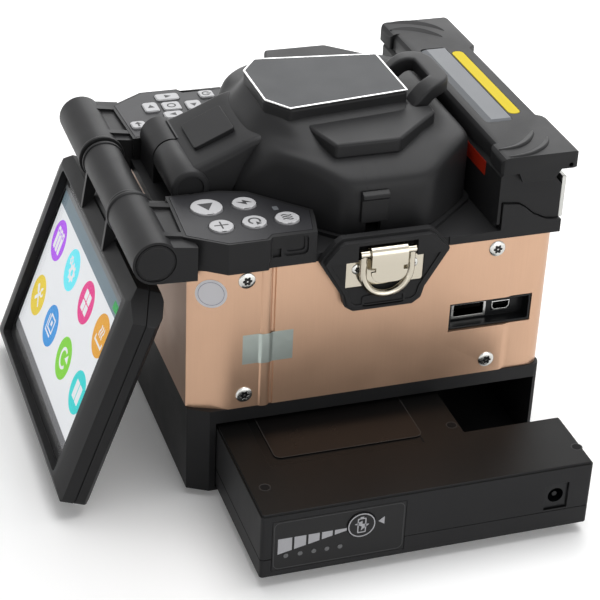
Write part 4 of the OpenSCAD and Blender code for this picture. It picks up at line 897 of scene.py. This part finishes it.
def addPicture(p):
    w, back = p["halfWidth"], p["glassBack"]
    facing = ((1, 0, 0), -panelDown, "monitor", "lcd")
    bands = {"head": ("screenHead", p["headHalf"]), "status": ("screenStatus", w),
             "field": ("screenField", w), "foot": ("screenFoot", w)}
    for key, (finish, half) in bands.items():
        u0, u1 = p[key]
        band = boxPoints(-half, -u1, half, -u0)
        addSign("screen_" + key, [band], onPanel(0, 0, back), *facing, finish, -0.1, 0.0)
    for down, names, spots in p["rows"]:
        for name, x in zip(names, spots):
            place = onPanel(x, down, back)
            shapes = [grown(shape, p["signGrowth"]) for shape in iconSigns[name]]
            addSign("icon_" + name, [ringPoints(p["icon"], 48)], place, *facing, "icon_" + name, -0.02, 0.04)
            addSign("icon_" + name + "_sign", shapes, place, *facing, "screenField", 0.03, 0.07)
    cell = onPanel(*p["charge"], back)
    addSign("screen_charge", [boxPoints(-3.4, -1.7, 2.4, 1.7)], cell, *facing, "chargeGreen", -0.02, 0.04)
    addSign("screen_charge_end", [boxPoints(2.4, -1.7, 5.0, 1.7)], cell, *facing, "lcd", -0.02, 0.04)


addPicture(picture)
print("monitor picture leans", round(math.degrees(lean), 2))

screw = {
    # button head of the case: radius, rise, lobed socket with a pin, its depth, and where the heads stand
    "r": 3.35, "rise": 0.9, "socket": 1.55, "lobe": 0.2, "pin": 0.45, "deep": 0.45,
    "socketWall": 0.12, "pinWall": 0.1,
    "out": 65.02, "y": (-52.7, 47.5), "z": (43.3, 93.6),
    # the strap plates' smaller screws: distance out, places along, height, size against a case screw
    "strap": (67.62, (-10.5, 11.5), 94.0, 0.66),
}


def screwHead(s, rings=20, steps=60):
    # height over the disc: a dome that falls to nothing at the rim, cut down inside the lobed socket, with
    # the pin standing back up in the middle
    t = np.concatenate([np.linspace(0, 0.5, 12), np.linspace(0.5, 1, rings)[1:]])
    a = np.arange(steps) * 2 * math.pi / steps
    r = s["r"] * t[:, None] * np.ones(steps)
    edge = s["socket"] * (1 + s["lobe"] * np.cos(6 * a))
    dome = s["rise"] * np.sqrt(np.clip(1 - (r / s["r"]) ** 2, 0, 1)) ** 0.8
    inside = np.clip((edge - r) / s["socketWall"], 0, 1)
    pin = np.clip((s["pin"] - r) / s["pinWall"], 0, 1)
    return np.stack([r * np.cos(a), r * np.sin(a), dome - s["deep"] * inside * (1 - pin)], -1)


def screwSpots(s):
    # side, distance out, place along and up, and size against a case screw
    big = [(side, s["out"], y, z, 1.0) for side in (1, -1) for y in s["y"] for z in s["z"]]
    out, places, up, size = s["strap"]
    return big + [(side, out, y, up, size) for side in (1, -1) for y in places]


def addScrews(s):
    grid = screwHead(s)
    rows, cols = grid.shape[:2]
    points, faces = [], []
    for side, out, y, z, size in screwSpots(s):
        base = len(points) * rows * cols
        flat = grid.reshape(-1, 3) * size
        # the head faces outwards along X: its own x runs along Y, its own y along Z
        points.append(np.column_stack([side * (out + flat[:, 2]), y + side * flat[:, 0], z + flat[:, 1]]))
        faces += gridFaces(rows, cols, base)
        faces.append((base + (rows - 1) * cols + np.arange(cols))[::-1].tolist())
    mesh = closedMesh("case_screw_heads", np.vstack(points), faces, 1e-7)
    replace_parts(addPiece("case_screw_heads", mesh, "main_body", "steel", None, 40), "case_screws")


addScrews(screw)


def screwSockets(s):
    # painted shade: a dark star on each socket's floor stands in for the shade in the socket, with a hole for
    # the pin
    a = np.arange(60) * 2 * math.pi / 60
    star = ringPoints(1, 60) * ((s["socket"] - 0.05) * (1 + s["lobe"] * np.cos(6 * a)))[:, None]
    pair = (star, ringPoints(s["pin"] + 0.1, 60))
    for k, (side, out, y, z, size) in enumerate(screwSpots(s)):
        place = (side * (out + (s["rise"] - s["deep"]) * size), y, z)
        addSign(f"case_socket_{k}", [grown(pair, size)], place, *onSide[side], "main_body", "steel",
                "darkScrew", 0.02, 0.3 * size)


screwSockets(screw)
print("case screws have their sockets")

batteryTop = top("battery_upper")
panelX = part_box("battery_panel")[1].x / mm
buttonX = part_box("check_button")[1].x / mm
# the button's face gives way by a hair to the sign on it
shiftPoints(softened("check_button", 0.25, 2), 0, lambda x: x > buttonX - 0.05, -0.08)
chargeRow = {
    # bars that grow shorter from y0 to the end, the arrow beside them and the row of lights below
    "y0": -56.4, "low": 11.3, "high": 18.2, "least": 1.1, "end": -29.9, "gap": 0.9,
    "widths": (6.3, 5.4, 5.2, 5.0, 5.9), "arrow": [(-17.6, 19.0), (-15.2, 17.3), (-15.2, 20.7)],
    "dotY": (-53.2, -47.7, -42.4, -37.3, -32.2), "dotZ": 10.2, "dotR": 0.95,
}


def addChargeRow(c):
    # the upper edge is level and the lower edge climbs towards the button
    slope = (c["high"] - c["least"] - c["low"]) / (c["end"] - c["y0"])
    starts = c["y0"] + np.concatenate([[0], np.cumsum(c["widths"])[:-1]])
    marks = [np.array(c["arrow"])]
    for y, w in zip(starts, c["widths"]):
        y1 = min(y + w - c["gap"], c["end"])
        low, low1 = (c["low"] + slope * (q - c["y0"]) for q in (y, y1))
        marks.append(np.array([[y, low], [y1, low1], [y1, c["high"]], [y, c["high"]]]))
    onBattery = ((panelX, 0, 0), *onSide[1], "battery", "panel")
    dots = [ringPoints(c["dotR"], 20, (y, c["dotZ"])) for y in c["dotY"]]
    addSign("charge_row", marks, *onBattery, "paleInk", -0.05, 0.05)
    addSign("charge_lights", dots, *onBattery, "smokedDot", -0.05, 0.12)


def checkSign():
    # a ring round a battery cell with a bolt across it
    return [(ringPoints(5.3, 56), ringPoints(4.85, 56)),
            (boxPoints(-1.7, -3.4, 1.7, 3.2, 0.4, 3), boxPoints(-1.25, -2.95, 1.25, 2.75, 0.3, 3)),
            np.array([[-2.8, 0.7], [0.2, 2.0], [0.2, 0.6], [2.9, 0.1], [-0.3, -2.3], [0.0, -0.5]]),
            boxPoints(-0.7, 3.2, 0.7, 3.8)]


addChargeRow(chargeRow)
addSign("check_sign", checkSign(), (buttonX - 0.06, *middle("check_button")[1:]), *onSide[1], "check_key",
        "panel", "paleInk", 0.0, 0.06)

tongue = {
    # half width, foot below the ring's bar and corner radius, where the plate's own tongue is cut off, the
    # distance out from the ring, and the notch
    "half": 7.2, "low": -11.6, "corner": 4.6, "wire": 3.0, "cut": 4.2, "out": 2.0, "thick": 0.99,
    "notch": [(0, -3.0), (0, -4.9), (-1.7, -5.1), (-1.7, -6.7), (0, -6.9)],
}


def roundTongues(t):
    # the folded plate ends in a rounded tongue with a notch on each side for the ring's legs
    lo, hi = (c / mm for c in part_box("d_ring_right"))
    ringX, ringY, ringZ = (lo.x + hi.x) / 2, (lo.y + hi.y) / 2, hi.z - t["wire"] / 2
    mesh = made["strap_plates"].data
    bm = bmesh.new()
    bm.from_mesh(mesh)
    level, outside = (ringZ - t["cut"]) * mm, (ringX + t["out"] - 0.1) * mm
    whole = bm.verts[:] + bm.edges[:] + bm.faces[:]
    bmesh.ops.bisect_plane(bm, geom=whole, plane_co=(0, 0, level), plane_no=(0, 0, 1))
    old = [f for f in bm.faces if all(abs(v.co.x) > outside and v.co.z < level + 1e-6 for v in f.verts)]
    bmesh.ops.delete(bm, geom=old, context="FACES")
    bmesh.ops.holes_fill(bm, edges=[e for e in bm.edges if e.is_boundary])
    bmesh.ops.recalc_face_normals(bm, faces=bm.faces)
    bm.to_mesh(mesh)
    bm.free()
    arc = arcPoints(t["corner"], 0, -90, 14, (t["half"] - t["corner"], t["low"] + t["corner"]))
    edge = np.vstack([np.array(t["notch"]) + [t["half"], 0], arc])
    outline = np.vstack([edge, (edge * [-1, 1])[::-1]])
    for side, tag in sides:
        place = (side * (ringX + t["out"]), ringY, ringZ)
        plate = addSign("strap_tongue_" + tag, [outline], place, *onSide[side], "main_body", "nickel",
                        "nickel", 0.0, t["thick"])
        breakEdges(plate, 0.25, 2)
    print("tongues rounded, faces cut away:", len(old))


roundTongues(tongue)

bracket = {
    # the strap bracket's lower outline, from its middle and the case's top edge; the raised rim's insets
    "line": [(25.6, 0.3), (16.6, -15.0), (15.4, -19.6), (12.0, -22.0)],
    "outer": 0.9, "inner": 2.7, "rise": 0.55, "face": 68.0, "middle": 0.5, "edge": 98.0,
    # half width and span in height of the lug below the ring, its wall and its outer and inner corners
    "lug": (8.8, -20.6, -15.6), "wall": 1.0, "corners": (1.6, 0.8),
}


def insetLine(points, depth):
    # moves an open line inwards by the same distance all along
    p = np.asarray(points, float)
    way = unit(np.diff(p, axis=0))
    side = np.column_stack([way[:, 1], -way[:, 0]])
    first, second = np.vstack([side[:1], side]), np.vstack([side, side[-1:]])
    return p + (first + second) * (depth / (1 + np.sum(first * second, axis=1)))[:, None]


def bracketRims(b):
    # the rim fills the space between two insets of the outline, the lug that between two round boxes
    half = np.array(b["line"])
    whole = np.vstack([half, (half * [-1, 1])[::-1]])
    rim = np.vstack([insetLine(whole, b["outer"]), insetLine(whole, b["inner"])[::-1]])
    y, z0, z1 = b["lug"]
    lug = tuple(boxPoints(w - y, z0 + w, y - w, z1 - w, corner, 6)
                for w, corner in zip((0, b["wall"]), b["corners"]))
    for side, tag in sides:
        place = (side * b["face"], b["middle"], b["edge"])
        for name, shape in (("strap_rim_", rim), ("strap_lug_", lug)):
            relief = addSign(name + tag, [shape], place, *onSide[side], "main_body", "black", "black",
                             -0.1, b["rise"])
            breakEdges(relief, 0.22, 2)


bracketRims(bracket)

smallScrews = {
    # the battery's screws: where they stand, the collar's profile, and the socket, a dark disc painted on the
    # top as the shade of the hole
    "spots": [(106.5, -56.6), (86.6, 25.4), (112.6, 66.6), (36.0, -46.0)], "socket": 1.75,
    "profile": [(2.3, -0.3), (2.3, 0.02), (2.2, 0.05), (1.95, 0.05), (1.8, 0.0), (1.7, -0.3)],
}
for k, spot in enumerate(smallScrews["spots"]):
    place = (*spot, batteryTop)
    lathe(f"battery_screw_{k}", smallScrews["profile"], place, (0, 0, 1), 32, 30,
          "battery", "battery", "panel")
    # painted shade: a dark disc over the hole
    socket = ringPoints(smallScrews["socket"], 32)
    addSign(f"battery_socket_{k}", [socket], place, *lying, "battery", "battery", "dark")
for piece in (made["battery_lower"], made["battery_upper"]):
    # painted light: upright faces of the case get a lighter copy of its colour, standing in for the sheen
    # that makes the sides look lighter than the top
    piece.data.materials.append(mats["batterySide"])
    up = np.empty(len(piece.data.polygons) * 3)
    piece.data.polygons.foreach_get("normal", up)
    piece.data.polygons.foreach_set("material_index", (np.abs(up[2::3]) < 0.5).astype(np.int32))


def edged(x0, y0, x1, y1, corner, width):
    # a rectangle with round corners and the same one inset by the width
    return tuple(boxPoints(x0 + w, y0 + w, x1 - w, y1 - w, corner - w, 8) for w in (0, width))


label = {"spot": (20.0, -47.5, 90.4, 12.2), "corner": 3.0, "edge": 0.35}
panelEdge = {"inset": 0.5, "corner": 2.4, "edge": 0.3}
labelEdge = edged(*label["spot"], label["corner"], label["edge"])
onTop = ((0, 0, batteryTop), *lying, "battery", "battery")
# painted highlight: a thin lighter ring where the recessed label's step catches light
addSign("label_place_edge", [labelEdge], *onTop, "batteryEdge", -0.05, 0.05)
addSign("label_place", [labelEdge[1]], *onTop, "labelBlack", -0.05, 0.03)
panelLo, panelHi = (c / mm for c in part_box("battery_panel"))
inset = panelEdge["inset"]
panelLine = edged(panelLo.y + inset, panelLo.z + inset, panelHi.y - inset, panelHi.z - inset,
                  panelEdge["corner"], panelEdge["edge"])
# painted highlight: a thin lighter line inside the edge of the recessed panel, where its step catches light
addSign("panel_edge", [panelLine], (panelX, 0, 0), *onSide[1], "battery", "panel", "panelEdge", -0.05, 0.04)
print("battery is dressed")

seals = {
    # the case's bevelled corner from a to b, the round seal's distance from a, its height and its radii
    "a": (60.1, -71.4), "b": (65.0, -58.7), "along": 6.2, "z": 88.3, "r": 6.0, "ring": (5.0, 4.75),
}


def roundSeal(s):
    way = unit(np.array([np.subtract(s["b"], s["a"])]))[0]
    x, y = np.array(s["a"]) + way * s["along"]
    facing = ((x, y, s["z"]), (*way, 0), (0, 0, 1), "main_body", "key")
    addSign("round_seal", [ringPoints(s["r"], 48)], *facing, "sealWhite", -0.05, 0.12)
    ring = tuple(ringPoints(r, 48) for r in s["ring"])
    addSign("round_seal_ring", [ring], *facing, "sealGrey", 0.1, 0.14)


roundSeal(seals)

foil = {
    # span along and up, the case's side, thickness; the pressed rib that it follows: middle, reach, rise and
    # how steep its flanks are
    "y": (-53.7, -33.8), "z": (56.9, 69.8), "out": 65.0, "thick": 0.1, "rib": -44.7, "reach": (2.2, 2.0),
    "rise": 0.8, "steep": 4, "steps": 60,
}


def foilSeal(f):
    # distance out: a smooth step up over one flank of the rib, times a smooth step down over the other
    n, k = f["steps"], f["steep"]
    y = np.linspace(*f["y"], n)
    before, after = f["reach"]
    bump = f["rise"] / (1 + np.exp((f["rib"] - before - y) * k)) / (1 + np.exp((y - f["rib"] - after) * k))
    (z0, z1), t = f["z"], f["thick"]
    edges = ((z0, t), (z1, t), (z1, 0.0), (z0, 0.0))
    grid = np.stack([np.column_stack([f["out"] + bump + out, y, np.full(n, z)]) for z, out in edges], 1)
    addPiece("foil_seal", closedMesh("foil_seal", grid, tubeFaces(n, 4)), "main_body", "chrome", "foil", 30)


foilSeal(foil)
heaterFace = (0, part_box("heater_body")[0].y / mm, 0)
addSign("heater_label", [boxPoints(29, 117.6, 50, 123.6, 0.6)], heaterFace, *onFront, "main_body", "black",
        "labelRed", -0.05, 0.08)
addSign("status_light", [boxPoints(43.0, -37.0, 46.0, -35.0, 0.4, 4)], (0, 0, top("right_inlay")), *lying,
        "main_body", "window", "window", -0.05, 0.12)
print("stickers and labels are bare")

folds = {
    # swept folds on the wings of the heater's lid, drawn on the right side: path, width, height
    "lid_ridge_": ([(58.8, 46.2), (58.9, 50), (58, 55), (54.8, 59.8), (49.6, 64.3), (46, 66.4)], 3.4, 1.0),
    "lid_sweep_": ([(65.4, 47), (65.6, 52), (64.6, 57.5), (61, 63.6), (57, 67.4), (52, 69.6)], 3.2, 0.9),
}


def lidFold(name, path, width, height, side, z, n=40, across=9):
    # a low fold: across it steep on the outer side, along it full in the middle and dying at both ends
    line = smoothLine(evenLine(np.array(path) * [side, 1], n), 7)
    way = unit(np.gradient(line, axis=0))
    left = np.column_stack([-way[:, 1], way[:, 0]])
    t = np.linspace(-1, 1, across)
    full = np.sin(np.linspace(0, math.pi, n))[:, None] ** 0.6
    flat = line[:, None] + left[:, None] * (t * width / 2 * full)[..., None]
    steep = np.interp(-side * t, [-1, 0.35, 0.6, 1], [0, 0.9, 1, 0])
    high = np.dstack([flat, z - 0.05 + (height + 0.05) * full * steep])
    low = np.dstack([flat, np.full((n, across), z - 0.3)])
    faces = gridFaces(n, across, 0, False) + [f[::-1] for f in gridFaces(n, across, n * across, False)]
    mesh = closedMesh(name, np.vstack([high.reshape(-1, 3), low.reshape(-1, 3)]), faces, 1e-8, True)
    addPiece(name, mesh, "heater_cover", "black", None, 60)


for side, tag in sides:
    for name, (path, width, height) in folds.items():
        lidFold(name + tag, path, width, height, side, top("heater_lid"))
rib = {
    # the pad on the hood's arm: half width and half length, middle, its direction up the arm, and its depth
    "half": (10.5, 8.6), "place": (0, -49.8, 124.35), "up": (0, 0.911, 0.412), "span": (-1.2, 1.7),
}
pad = boxPoints(*(-v for v in rib["half"]), *rib["half"], 1.0, 4)
hoodRib = addSign("hood_rib", [pad], rib["place"], (1, 0, 0), rib["up"], "hood", "black", "black",
                  *rib["span"])
breakEdges(hoodRib, 0.55, 3)
print("lid and hood arm have their folds")
